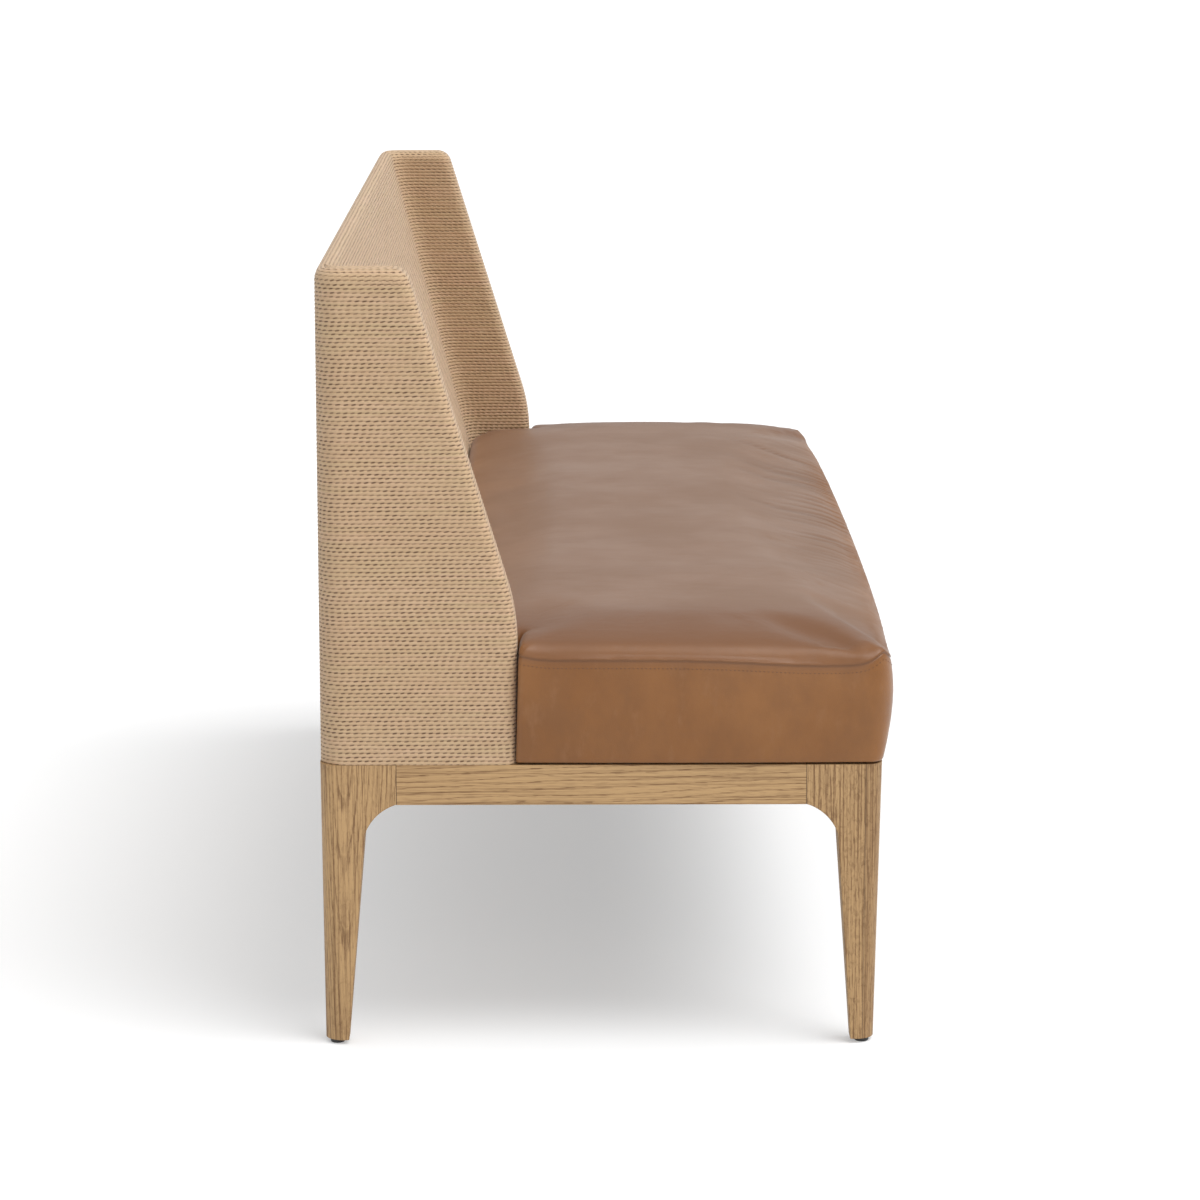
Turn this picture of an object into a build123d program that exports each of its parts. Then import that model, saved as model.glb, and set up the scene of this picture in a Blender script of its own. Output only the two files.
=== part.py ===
from build123d import *
import math
import os

os.makedirs("parts", exist_ok=True)

# Frame of the bench: X along its length, the front faces -Y, Z up, in millimetres
frame_length = 1600.0
frame_depth = 620.0
frame_top = 320.0
back_top = 866.0
wood_clearance = 0.2
overrun = 5.0

# Legs, with a haunch towards each apron
haunch_width = 84.0
leg_core_width = 49.0
knee_height = 241.0
knee_radius = 54.0
foot_width = 26.5
front_setback = 6.0
rear_setback = 2.5
end_setback = 2.5
leg_corner_radius = 20.0
leg_edge_radius = 1.5

# Aprons and their tenons
apron_height = 45.0
apron_thickness = 28.0
apron_edge_radius = 1.0
tenon_thickness = 10.0
tenon_height = 28.0
tenon_length = 25.0
tenon_end_gap = 1.0

# Glides under the legs
glide_height = 5.0
glide_radius = 8.0
glide_edge_radius = 1.5
glide_pin_radius = 1.6
glide_pin_length = 16.0

# Corner blocks behind the legs, with their bolts and screws
block_reach = 100.0
block_width = 42.0
block_height = 36.0
bolt_radius = 4.0
bolt_depth_in_leg = 26.0
bolt_tail = 4.0
nut_width = 13.0
nut_height = 6.5
washer_radius = 10.0
washer_thickness = 1.6
block_screw_radius = 2.2
block_screw_head_radius = 4.2
block_screw_head_height = 3.0
block_screw_bite = 18.0
block_screw_shank = 12.0

# Cross rails that carry the seat
cross_rail_count = 3
cross_rail_width = 34.0
cross_rail_height = 40.0
stub_tenon_length = 10.0
stub_tenon_thickness = 14.0
stub_tenon_height = 22.0
seat_reveal = 2.5

# Seat cushion: a boxed leather cover with a crowned top
seat_seam_height = 438.0
seat_crown_height = 37.0
front_overhang = 12.0
end_overhang = 8.0
front_bow = 8.0
end_bow = 2.0
crown_roll_width = 150.0
cushion_corner_radius = 24.0
cushion_clearance = 2.0
leather_thickness = 1.4
cover_lip_width = 42.0
dust_cover_thickness = 0.8
dust_cover_clearance = 0.6

# Heights up the boxing, and how much of the overhang is drawn in there
boxing_shares = [(0.0, 1.0), (0.3, 0.36), (0.66, 0.0), (1.0, 0.2)]
# Steps in over the crown's roll, and the height of the crown gained there
crown_shares = [
    (0.0, 0.0),
    (0.02, 0.2),
    (0.06, 0.38),
    (0.13, 0.56),
    (0.25, 0.73),
    (0.45, 0.88),
    (0.7, 0.96),
    (1.0, 1.0),
]

# How much of a step in is added to the corner's radius
crown_corner_share = 0.3

# The most of an outline's depth that a corner's radius takes up
widest_corner_share = 0.45

# Seat board under the foam
board_thickness = 15.0
vent_radius = 20.0
vent_count = 6
seat_screw_radius = 2.5
seat_screw_head_radius = 5.0
seat_screw_head_height = 3.5
seat_screw_bite = 12.0
seat_screw_shank = 20.0
seat_screw_inset = 70.0

# Back: a wedge with an upright rear face and a raked inner face
ridge_thickness = 18.0
rake_angle = 14.7
cord_diameter = 4.5
cord_groove = 1.2
panel_thickness = 9.0
back_top_rail_height = 60.0
back_bottom_rail_height = 30.0
rib_count = 5
rib_thickness = 18.0
rib_end_inset = 30.0

# Wings at the two ends of the back
wing_thickness = 50.0
wing_bend_depth = 218.5
wing_bend_height = 486.0
wing_foot_depth = 216.0
wing_top_depth = 99.8
wing_top_corner_radius = 20.0
wing_bend_radius = 230.0
wing_edge_radius = 12.0
wing_rear_radius = 30.0
wing_rear_top_radius = 12.0
smallest_radius = 1.0
corner_post_depth = 36.0
wing_stile_width = 32.0
wing_rail_height = 30.0

# Bolts that hold the back down on the frame, and their threaded sleeves
back_bolt_radius = 3.0
back_bolt_head_radius = 5.0
back_bolt_inner_inset = 9.0
back_bolt_head_height = 5.0
back_bolt_bite = 22.0
back_bolt_recess = 15.0
back_bolt_end_inset = 190.0
back_bolt_count = 4
sleeve_radius = 4.5
sleeve_length = 18.0
bolt_clearance = 0.25

# Places that follow from the sizes above
overall_depth = frame_depth + front_overhang + front_bow
rear_y = overall_depth / 2
front_y = rear_y - frame_depth
middle_y = (rear_y + front_y) / 2
end_x = frame_length / 2
wing_inner_x = end_x - wing_thickness
apron_bottom = frame_top - apron_height
seat_bottom = frame_top + seat_reveal
rake_slope = math.tan(math.radians(rake_angle))
rake_stretch = math.hypot(1, rake_slope)
ridge_radius = ridge_thickness / (rake_stretch + 1 - rake_slope)


def y_at(depth):
    """Y of a place that lies this far in front of the rear face."""
    return rear_y - depth


def raked_depth(height, inset=0):
    """Depth of the raked inner face at a height, moved into the back by the inset."""
    return ridge_thickness + (back_top - height) * rake_slope - inset * rake_stretch


def block(low, high):
    """A box between two opposite corners."""
    size = [b - a for a, b in zip(low, high)]
    centre = [(a + b) / 2 for a, b in zip(low, high)]
    return Pos(*centre) * Box(*size)


def rod(start, direction, radius, length):
    """A round bar that starts at a point and runs along a direction."""
    bar = Cylinder(radius, length, align=(Align.CENTER, Align.CENTER, Align.MIN))
    return Plane(origin=start, z_dir=direction) * bar


def side_plane(x):
    """A plane across the bench: its first axis is depth forward, its second is height."""
    return Plane(origin=(x, rear_y, 0), x_dir=(0, -1, 0), z_dir=(-1, 0, 0))


def across(face_or_sketch, low_x, high_x):
    """Sweep an outline of depths and heights along the bench, from low_x to high_x."""
    placed = side_plane(high_x) * face_or_sketch
    return extrude(placed, high_x - low_x)


def mirrored_end(shape):
    """The same shape at the other end of the bench."""
    return mirror(shape, about=Plane.YZ)


def mirrored_front(shape):
    """The same shape at the other long side of the frame."""
    return mirror(shape, about=Plane(origin=(0, middle_y, 0), z_dir=(0, 1, 0)))


def corner_copies(shape):
    """Four copies of a shape that was made at the front left corner."""
    front = [shape, mirrored_end(shape)]
    rear = [mirrored_front(one) for one in front]
    return front + rear


def write(name, *shapes):
    """Write one node, made of one solid or of several separate ones."""
    solids = [solid for shape in shapes for solid in shape.solids()]
    node = solids[0] if len(solids) == 1 else Compound(children=solids)
    export_step(node, f"parts/{name}.step")


# Legs


def leg_outline(setback):
    """A leg seen square on: in from its outer face, and up."""
    low = Vector(leg_core_width, knee_height)
    high = Vector(haunch_width, apron_bottom)
    chord = high - low
    sagitta = knee_radius - math.sqrt(knee_radius**2 - (chord.length / 2) ** 2)
    outward = Vector(-chord.Y, chord.X).normalized()
    knee = (low + high) / 2 + outward * sagitta
    top_edge = Polyline(
        (haunch_width, apron_bottom),
        (haunch_width, frame_top),
        (0, frame_top),
        (setback, glide_height),
        (setback + foot_width, glide_height),
        (leg_core_width, knee_height),
    )
    return make_face([ThreePointArc(low, knee, high), *top_edge.edges()])


def apron_mortise(along_x):
    """The hole in a haunch for an apron's tenon, at the front left corner."""
    near = haunch_width - tenon_length - tenon_end_gap
    side = (apron_thickness - tenon_thickness) / 2 - wood_clearance
    width = tenon_thickness + 2 * wood_clearance
    low_z = apron_bottom + (apron_height - tenon_height) / 2 - wood_clearance
    high_z = low_z + tenon_height + 2 * wood_clearance
    if along_x:
        low = (-end_x + near, front_y + side, low_z)
        high = (-end_x + haunch_width + overrun, front_y + side + width, high_z)
    else:
        low = (-end_x + side, front_y + near, low_z)
        high = (-end_x + side + width, front_y + haunch_width + overrun, high_z)
    return block(low, high)


def knee_side_edges(body):
    """The outer faces' edges along the knee and down to the foot."""
    picked = []
    for edge in body.edges():
        middle = edge.center()
        across_x = middle.X + end_x
        across_y = middle.Y - front_y
        below_apron = edge.bounding_box().max.Z < apron_bottom + wood_clearance
        tall = edge.bounding_box().size.Z > apron_height / 2
        on_front = across_y < foot_width / 3 and across_x > leg_core_width / 2
        on_end = across_x < foot_width / 3 and across_y > leg_core_width / 2
        if below_apron and tall and (on_front or on_end):
            picked.append(edge)
    return picked


def leg(setback):
    """A leg at the front left corner, set back at its foot by the given amount."""
    corner = (-end_x, front_y, 0)
    from_front = Plane(origin=corner, x_dir=(1, 0, 0), z_dir=(0, -1, 0))
    from_end = Plane(origin=corner, x_dir=(0, 1, 0), z_dir=(1, 0, 0))
    front_view = extrude(from_front * leg_outline(end_setback), -haunch_width)
    end_view = extrude(from_end * leg_outline(setback), haunch_width)
    body = front_view & end_view
    inner_x = -end_x + haunch_width + overrun
    inner_y = front_y + haunch_width + overrun
    body -= block(
        (-end_x + leg_core_width, front_y + apron_thickness, 0),
        (inner_x, inner_y, frame_top + overrun),
    )
    body -= block(
        (-end_x + apron_thickness, front_y + leg_core_width, 0),
        (inner_x, inner_y, frame_top + overrun),
    )
    uprights = body.edges().filter_by(lambda edge: edge.length > knee_height)
    outer_edge = uprights.sort_by(lambda edge: edge.center().X + edge.center().Y)[0]
    body = fillet(outer_edge, leg_corner_radius)
    body = fillet(knee_side_edges(body), leg_edge_radius)
    body -= apron_mortise(True)
    body -= apron_mortise(False)
    pin_x = -end_x + end_setback + foot_width / 2
    pin_y = front_y + setback + foot_width / 2
    pin_hole = glide_pin_radius + wood_clearance
    pin_hole_length = glide_pin_length + tenon_end_gap
    body -= rod((pin_x, pin_y, glide_height), (0, 0, 1), pin_hole, pin_hole_length)
    body -= hanger_bolt_hole()
    return body


def glide(setback):
    """A round plastic glide with its nail, under the front left leg."""
    centre_x = -end_x + end_setback + foot_width / 2
    centre_y = front_y + setback + foot_width / 2
    pad = Cylinder(glide_radius, glide_height, align=(Align.CENTER, Align.CENTER, Align.MIN))
    pad = fillet(pad.edges().sort_by(Axis.Z)[0], glide_edge_radius)
    pad = Pos(centre_x, centre_y, 0) * pad
    return pad + rod((centre_x, centre_y, 0), (0, 0, 1), glide_pin_radius, glide_height + glide_pin_length)


# Aprons


def apron_bar(length):
    """An apron along X with a tenon at each end, centred on X, its outer face at Y zero."""
    half = length / 2
    bar = block((-half, 0, apron_bottom), (half, apron_thickness, frame_top))
    bar = fillet(bar.edges().filter_by(Axis.X), apron_edge_radius)
    side = (apron_thickness - tenon_thickness) / 2
    low_z = apron_bottom + (apron_height - tenon_height) / 2
    reach = half + tenon_length
    return bar + block((-reach, side, low_z), (reach, side + tenon_thickness, low_z + tenon_height))


def front_apron():
    """The long apron at the front, with the cross rails' mortises."""
    bar = Pos(0, front_y, 0) * apron_bar(frame_length - 2 * haunch_width)
    for x in cross_rail_places():
        bar -= stub_mortise(x)
    for hole in block_screw_holes():
        bar -= hole
    return bar


def rear_apron():
    """The long apron at the rear, with the holes of the bolts that hold the back."""
    bar = mirrored_front(front_apron())
    for x in back_bolt_places():
        bar -= back_bolt_hole(x, y_at(back_bolt_line()))
    return bar


def left_apron():
    """The apron at the left end."""
    bar = apron_bar(frame_depth - 2 * haunch_width)
    bar = Pos(-end_x, middle_y, 0) * Rot(0, 0, -90) * bar
    for hole in block_screw_holes():
        bar -= hole
    bar -= back_bolt_hole(-end_x + back_bolt_line(), wing_bolt_y())
    return bar


# Corner blocks, bolts and screws


def block_height_range(row):
    """Lowest and highest Z of a corner block. The front ones stand up to the seat."""
    top = seat_bottom if row == "front" else frame_top
    return top - block_height, top


def bolt_z():
    """Height of the hanger bolts, at the middle of the leg's haunch."""
    return apron_bottom + apron_height / 2


def diagonal_point(distance):
    """A point on the diagonal of the front left corner, at the bolts' height."""
    share = distance / math.sqrt(2)
    return (-end_x + share, front_y + share, bolt_z())


def block_far_distance():
    """Distance along the diagonal to the block's inner face."""
    return (2 * apron_thickness + block_reach) / math.sqrt(2)


def hanger_bolt_start():
    """Distance along the diagonal to the bolt's end inside the leg."""
    return leg_core_width * math.sqrt(2) - bolt_depth_in_leg


def hanger_bolt_length():
    """Length of a hanger bolt, from inside the leg to past its nut."""
    return block_far_distance() + washer_thickness + nut_height + bolt_tail - hanger_bolt_start()


def hanger_bolt():
    """A stud that pulls the leg against the aprons, at the front left corner."""
    return rod(diagonal_point(hanger_bolt_start()), (1, 1, 0), bolt_radius, hanger_bolt_length())


def hanger_bolt_hole():
    """The room for the hanger bolt in the leg and the block."""
    start = diagonal_point(hanger_bolt_start() - tenon_end_gap)
    return rod(start, (1, 1, 0), bolt_radius + bolt_clearance, hanger_bolt_length() + overrun)


def hanger_washer():
    """A washer on the block's inner face."""
    start = diagonal_point(block_far_distance())
    ring = rod(start, (1, 1, 0), washer_radius, washer_thickness)
    return ring - hanger_bolt_hole()


def hanger_nut():
    """A hexagon nut on the washer."""
    start = diagonal_point(block_far_distance() + washer_thickness)
    hexagon = RegularPolygon(nut_width / 2, 6, major_radius=False)
    nut = extrude(Plane(origin=start, z_dir=(1, 1, 0)) * hexagon, nut_height)
    return nut - hanger_bolt_hole()


def block_screw_depth():
    """How far along the apron a block screw sits, from the bench's corner."""
    return apron_thickness + block_reach - block_width * 0.72


def block_screw_pair(radius, shank, bite):
    """Two screws' shanks at the front left corner: one into each apron."""
    place = block_screw_depth()
    inner = apron_thickness + shank
    into_end = rod((-end_x + inner, front_y + place, bolt_z()), (-1, 0, 0), radius, shank + bite)
    into_front = rod((-end_x + place, front_y + inner, bolt_z()), (0, -1, 0), radius, shank + bite)
    return [into_end, into_front]


def block_screw_holes():
    """Holes for all the block screws, at the four corners."""
    radius = block_screw_radius + wood_clearance
    pair = block_screw_pair(radius, block_screw_shank, block_screw_bite + tenon_end_gap)
    return [copy for hole in pair for copy in corner_copies(hole)]


def block_screw_heads(radius, extra):
    """The heads of a corner's two screws, or the pockets that let them in."""
    place = block_screw_depth()
    inner = apron_thickness + block_screw_shank
    length = block_screw_head_height + extra
    into_end = rod((-end_x + inner, front_y + place, bolt_z()), (1, 0, 0), radius, length)
    into_front = rod((-end_x + place, front_y + inner, bolt_z()), (0, 1, 0), radius, length)
    return [into_end, into_front]


def block_screws():
    """The two wood screws of the front left corner block."""
    shanks = block_screw_pair(block_screw_radius, block_screw_shank, block_screw_bite)
    heads = block_screw_heads(block_screw_head_radius, 0)
    return [shank + head for shank, head in zip(shanks, heads)]


def corner_block(row):
    """A wooden brace across the front left corner."""
    low_z, high_z = block_height_range(row)
    inner = apron_thickness
    far = inner + block_reach
    near = far - block_width
    outline = Polyline(
        (-end_x + inner, front_y + far),
        (-end_x + inner, front_y + near),
        (-end_x + near, front_y + inner),
        (-end_x + far, front_y + inner),
        close=True,
    )
    brace = extrude(Pos(0, 0, low_z) * make_face(outline.edges()), high_z - low_z)
    brace -= hanger_bolt_hole()
    radius = block_screw_radius + wood_clearance
    for hole in block_screw_pair(radius, block_screw_shank + overrun, block_screw_bite):
        brace -= hole
    for pocket in block_screw_heads(block_screw_head_radius + wood_clearance, block_reach):
        brace -= pocket
    return brace


# Cross rails


def cross_rail_places():
    """X of each cross rail, evenly spaced along the bench."""
    spacing = frame_length / (cross_rail_count + 1)
    return [-end_x + spacing * (number + 1) for number in range(cross_rail_count)]


def stub_tenon(x, clearance):
    """The stub tenon of a cross rail in the front apron, or its mortise."""
    half = stub_tenon_thickness / 2 + clearance
    low_z = apron_bottom + (apron_height - stub_tenon_height) / 2 - clearance
    high_z = low_z + stub_tenon_height + 2 * clearance
    inner_y = front_y + apron_thickness
    end_y = inner_y - stub_tenon_length
    if clearance:
        end_y -= tenon_end_gap
    return block((x - half, end_y, low_z), (x + half, inner_y + overrun, high_z))


def stub_mortise(x):
    """The hole in the front apron for a cross rail's tenon."""
    return stub_tenon(x, wood_clearance)


def seat_rear_depth():
    """Depth at which the seat's underside begins, in front of the back."""
    return raked_depth(seat_bottom) + cushion_clearance


def cross_rail(x):
    """A rail from the rear apron to the front one. It stands up to the seat in front of the back."""
    half = cross_rail_width / 2
    low_y = front_y + apron_thickness
    high_y = rear_y - apron_thickness
    step_y = y_at(seat_rear_depth())
    rail = block((x - half, low_y, seat_bottom - cross_rail_height), (x + half, high_y, seat_bottom))
    step_low = (x - half - overrun, step_y, frame_top)
    step_high = (x + half + overrun, high_y + overrun, seat_bottom + overrun)
    rail -= block(step_low, step_high)
    tenon = stub_tenon(x, 0)
    rail = rail + tenon + mirrored_front(tenon)
    for screw_x, screw_y in seat_screw_places():
        if screw_x == x:
            rail -= seat_screw_hole(screw_x, screw_y)
    return rail


def seat_screw_places():
    """Where the screws go up through the cross rails into the seat board."""
    front = front_y + apron_thickness + seat_screw_inset
    rear = y_at(seat_rear_depth() + seat_screw_inset)
    return [(x, y) for x in cross_rail_places() for y in (front, rear)]


def seat_screw_hole(x, y):
    """Clearance hole and pocket for one seat screw, from below."""
    shank_low = seat_bottom - seat_screw_shank
    pocket_low = seat_bottom - cross_rail_height - overrun
    radius = seat_screw_radius + wood_clearance
    pocket_radius = seat_screw_head_radius + wood_clearance
    hole = rod((x, y, shank_low), (0, 0, 1), radius, seat_screw_shank + overrun)
    return hole + rod((x, y, pocket_low), (0, 0, 1), pocket_radius, shank_low - pocket_low)


def seat_screw(x, y):
    """A pan head screw that holds the seat down."""
    shank_low = seat_bottom - seat_screw_shank
    bite_top = seat_bottom + leather_thickness + seat_screw_bite
    shank = rod((x, y, shank_low), (0, 0, 1), seat_screw_radius, bite_top - shank_low)
    head = rod((x, y, shank_low), (0, 0, -1), seat_screw_head_radius, seat_screw_head_height)
    return shank + head


# Seat cushion


def cushion_outline(height, drawn_in_front, drawn_in_end, rear_depth, radius):
    """The cushion's level outline, with bowed sides and round corners."""
    half = end_x + end_overhang - drawn_in_end
    low_y = front_y - front_overhang + drawn_in_front
    high_y = y_at(rear_depth)
    radius = min(radius, (high_y - low_y) * widest_corner_share)
    turn = radius * (1 - math.sqrt(0.5))
    side_y = (low_y + high_y) / 2
    straight = half - radius
    edges = [
        ThreePointArc((-straight, low_y), (0, low_y - front_bow), (straight, low_y)),
        ThreePointArc((straight, low_y), (half - turn, low_y + turn), (half, low_y + radius)),
        ThreePointArc((half, low_y + radius), (half + end_bow, side_y), (half, high_y - radius)),
        ThreePointArc((half, high_y - radius), (half - turn, high_y - turn), (straight, high_y)),
        Line((straight, high_y), (-straight, high_y)),
        ThreePointArc((-straight, high_y), (turn - half, high_y - turn), (-half, high_y - radius)),
        ThreePointArc((-half, high_y - radius), (-half - end_bow, side_y), (-half, low_y + radius)),
        ThreePointArc((-half, low_y + radius), (turn - half, low_y + turn), (-straight, low_y)),
    ]
    return Pos(0, 0, height) * make_face(edges)


def cushion_boxing(shrink):
    """The lower part of the cushion, up to the seam, with drawn-in sides."""
    outlines = []
    for height_share, drawn_share in boxing_shares:
        low = seat_bottom + shrink
        height = low + (seat_seam_height - low) * height_share
        drawn_front = front_overhang * drawn_share + shrink
        drawn_end = end_overhang * drawn_share + shrink
        rear_depth = raked_depth(height) + cushion_clearance + shrink * rake_stretch
        outlines.append(cushion_outline(height, drawn_front, drawn_end, rear_depth, cushion_corner_radius))
    return loft(outlines)


def cushion_crown(shrink):
    """The upper part of the cushion: its edges roll up from the seam to a low crown."""
    seam_share = boxing_shares[-1][1]
    outlines = []
    for step_share, height_share in crown_shares:
        step = crown_roll_width * step_share
        height = seat_seam_height + (seat_crown_height - shrink) * height_share
        drawn_front = front_overhang * seam_share + step + shrink
        drawn_end = end_overhang * seam_share + step + shrink
        rear_depth = raked_depth(seat_seam_height) + cushion_clearance + step + shrink * rake_stretch
        radius = cushion_corner_radius + step * crown_corner_share
        outlines.append(cushion_outline(height, drawn_front, drawn_end, rear_depth, radius))
    return loft(outlines, ruled=True)


def wing_notch(shrink):
    """The room that the cushion leaves round the left wing."""
    inner = wing_inner_x - cushion_clearance - shrink
    front_depth = wing_bend_depth + cushion_clearance + shrink
    low = (-end_x - end_overhang - front_overhang, y_at(front_depth), 0)
    high = (-inner, rear_y + overrun, back_top)
    return block(low, high)


def cushion_body(shrink):
    """The whole cushion, or what lies inside its cover."""
    body = cushion_boxing(shrink) + cushion_crown(shrink)
    body -= wing_notch(shrink)
    body -= mirrored_end(wing_notch(shrink))
    return body


def seam_split():
    """Everything above the level of the cushion's seam."""
    reach = frame_length
    return block((-reach, -reach, seat_seam_height), (reach, reach, back_top))


def dust_cover_opening(clearance):
    """The opening in the cover's underside, between its turned-in lips."""
    half = wing_inner_x - cover_lip_width - clearance
    low_y = front_y + cover_lip_width + clearance
    high_y = y_at(seat_rear_depth() + cover_lip_width + clearance)
    top = seat_bottom + leather_thickness
    return block((-half, low_y, seat_bottom), (half, high_y, top))


def board_level():
    """Everything below the top of the seat board."""
    reach = frame_length
    top = seat_bottom + leather_thickness + board_thickness
    return block((-reach, -reach, 0), (reach, reach, top))


def vent_places():
    """X of the vents in the seat board: midway between the cross rails and beside them."""
    spacing = frame_length / (vent_count + 1)
    return [-end_x + spacing * (number + 1) for number in range(vent_count)]


def seat_board(inside_of_cover):
    """The plywood board that fills the foot of the cover, with its vents and screw holes."""
    board = inside_of_cover & board_level()
    low = seat_bottom + leather_thickness - overrun
    radius = seat_screw_radius + wood_clearance
    for x in vent_places():
        start = (x, middle_y - vent_radius, low)
        board -= rod(start, (0, 0, 1), vent_radius, board_thickness + 2 * overrun)
    for x, y in seat_screw_places():
        board -= rod((x, y, low), (0, 0, 1), radius, overrun + seat_screw_bite + tenon_end_gap)
    return board


def dust_cover():
    """The cloth under the board, with holes where the seat screws pass."""
    top = seat_bottom + leather_thickness
    cloth = dust_cover_opening(dust_cover_clearance)
    below = (frame_length, frame_length, top - dust_cover_thickness)
    cloth -= block((-frame_length, -frame_length, 0), below)
    radius = seat_screw_radius + wood_clearance
    for x, y in seat_screw_places():
        cloth -= rod((x, y, seat_bottom - overrun), (0, 0, 1), radius, 2 * overrun)
    return cloth


# The back's section and its cord


def back_outline(inset):
    """The back's section: in by the inset from the cord's outer face."""
    radius = ridge_radius - inset
    centre = Vector(ridge_radius, back_top - ridge_radius)
    rake = math.radians(rake_angle)
    crest = centre + Vector(0, radius)
    front = centre + Vector(math.cos(rake), math.sin(rake)) * radius
    crown = centre + Vector(math.sin(rake), math.cos(rake)) * radius
    low_front = (raked_depth(frame_top, inset), frame_top)
    shoulder = centre + Vector(-math.sqrt(0.5), math.sqrt(0.5)) * radius
    rear = centre + Vector(-radius, 0)
    return [
        Line((inset, frame_top), rear),
        ThreePointArc(rear, shoulder, crest),
        ThreePointArc(crest, crown, front),
        Line(front, low_front),
    ]


def closed_back_outline(inset):
    """The same section as a face, closed along the frame's top."""
    edges = back_outline(inset)
    return make_face([*edges, Line(edges[-1] @ 1, edges[0] @ 0)])


def ridged_edge(path, outward_side):
    """Half-round cord rows side by side along a path, with a groove between them."""
    length = path.length
    rows = round(length / cord_diameter)
    grooves = []
    crests = []
    for number in range(2 * rows + 1):
        share = number / (2 * rows)
        point = path.position_at(share)
        tangent = path.tangent_at(share)
        outward = Vector(-tangent.Y, tangent.X) * outward_side
        if number % 2:
            crests.append(point)
        else:
            grooves.append(point - outward * cord_groove)
    return [ThreePointArc(a, b, c) for a, b, c in zip(grooves, crests, grooves[1:])]


def back_cord_section():
    """The layer of cord over the back: up the rear face, over the ridge, down the inner face."""
    path = Wire(back_outline(0))
    rows = ridged_edge(path, 1)
    inner = back_outline(cord_diameter)
    start = Line(inner[0] @ 0, rows[0] @ 0)
    end = Line(rows[-1] @ 1, inner[-1] @ 1)
    return make_face([start, *rows, end, *inner])


def back_cord():
    """The lengthwise cord rows of the back, between the wings."""
    rows = across(back_cord_section(), -wing_inner_x, wing_inner_x)
    return rows - block((-end_x, -frame_depth, 0), (end_x, frame_depth, frame_top))


def core_slab(low_z, high_z, low_depth, inset):
    """A slice of the back's inside, between two heights and in front of a depth."""
    reach = raked_depth(frame_top) + overrun
    half = wing_inner_x + cord_diameter
    body = across(closed_back_outline(inset), -half, half)
    return body & block((-half, y_at(reach), low_z), (half, y_at(low_depth), high_z))


def back_rear_panel():
    """The upright plywood panel behind the back's ribs."""
    half = wing_inner_x + cord_diameter
    low = (-half, y_at(cord_diameter + panel_thickness), frame_top)
    return block(low, (half, y_at(cord_diameter), back_top - back_top_rail_height))


def back_inner_panel():
    """The raked plywood panel in front of the back's ribs."""
    high_z = back_top - back_top_rail_height
    inner_depth = cord_diameter + panel_thickness
    outer = core_slab(frame_top, high_z, inner_depth, cord_diameter)
    return outer - core_slab(frame_top - overrun, high_z + overrun, 0, inner_depth)


def back_top_rail():
    """The wedge of solid wood along the ridge."""
    return core_slab(back_top - back_top_rail_height, back_top, 0, cord_diameter)


def back_bottom_rail():
    """The rail that stands on the frame, inside the two panels."""
    inner_depth = cord_diameter + panel_thickness
    rail = core_slab(frame_top, frame_top + back_bottom_rail_height, inner_depth, inner_depth)
    for x in back_bolt_places():
        rail -= sleeve_hole(x, y_at(back_bolt_line()))
    return rail


def rib_places():
    """X of the ribs' middles, from one wing to the other."""
    first = -wing_inner_x + rib_end_inset
    spacing = 2 * (wing_inner_x - rib_end_inset) / (rib_count - 1)
    return [first + spacing * number for number in range(rib_count)]


def back_rib(x):
    """A tapering rib between the two panels."""
    inner_depth = cord_diameter + panel_thickness
    low_z = frame_top + back_bottom_rail_height
    high_z = back_top - back_top_rail_height
    slab = core_slab(low_z, high_z, inner_depth, inner_depth)
    half = rib_thickness / 2
    return slab & block((x - half, -frame_depth, low_z), (x + half, frame_depth, high_z))


# Wings, made at the left end


def wing_outline(inset):
    """The wing seen from the end, in by the inset all round but at its foot."""
    lean = (wing_bend_depth - wing_top_depth) / (back_top - wing_bend_height)
    stretch = math.hypot(1, lean)
    top = back_top - inset
    top_depth = wing_top_depth - inset * stretch + inset * lean
    bend_shift = inset * (stretch - 1) / lean
    bend = (wing_bend_depth - inset, wing_bend_height - bend_shift)
    outline = Polyline(
        (inset, frame_top),
        (inset, top),
        (top_depth, top),
        bend,
        (wing_foot_depth - inset, frame_top),
        close=True,
    )
    face = make_face(outline.edges())
    corners = [
        ((inset, top), wing_rear_top_radius - inset),
        ((top_depth, top), wing_top_corner_radius - inset),
        (bend, wing_bend_radius),
    ]
    for place, radius in corners:
        corner = face.vertices().sort_by_distance(place)[0]
        face = fillet(corner, max(radius, smallest_radius))
    return face


def wing_body(inset):
    """The left wing's whole form, in by the inset, with round edges."""
    body = across(wing_outline(inset), -end_x + inset, -wing_inner_x - inset)
    rear_edge = body.edges().filter_by(Axis.Z).sort_by(lambda edge: edge.center().X - edge.center().Y)[0]
    body = fillet(rear_edge, wing_rear_radius - inset)
    outer_x = -end_x + inset
    inner_x = -wing_inner_x - inset
    rims = []
    for edge in body.edges():
        middle = edge.center()
        flat_side = abs(edge.bounding_box().size.X) < wood_clearance
        on_foot = edge.bounding_box().max.Z < frame_top + overrun
        at_side = min(abs(middle.X - outer_x), abs(middle.X - inner_x)) < wood_clearance
        behind = middle.Y > y_at(wing_rear_radius) and middle.Z < back_top - wing_rear_radius
        if flat_side and at_side and not on_foot and not behind:
            rims.append(edge)
    return fillet(rims, wing_edge_radius - inset)


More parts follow.
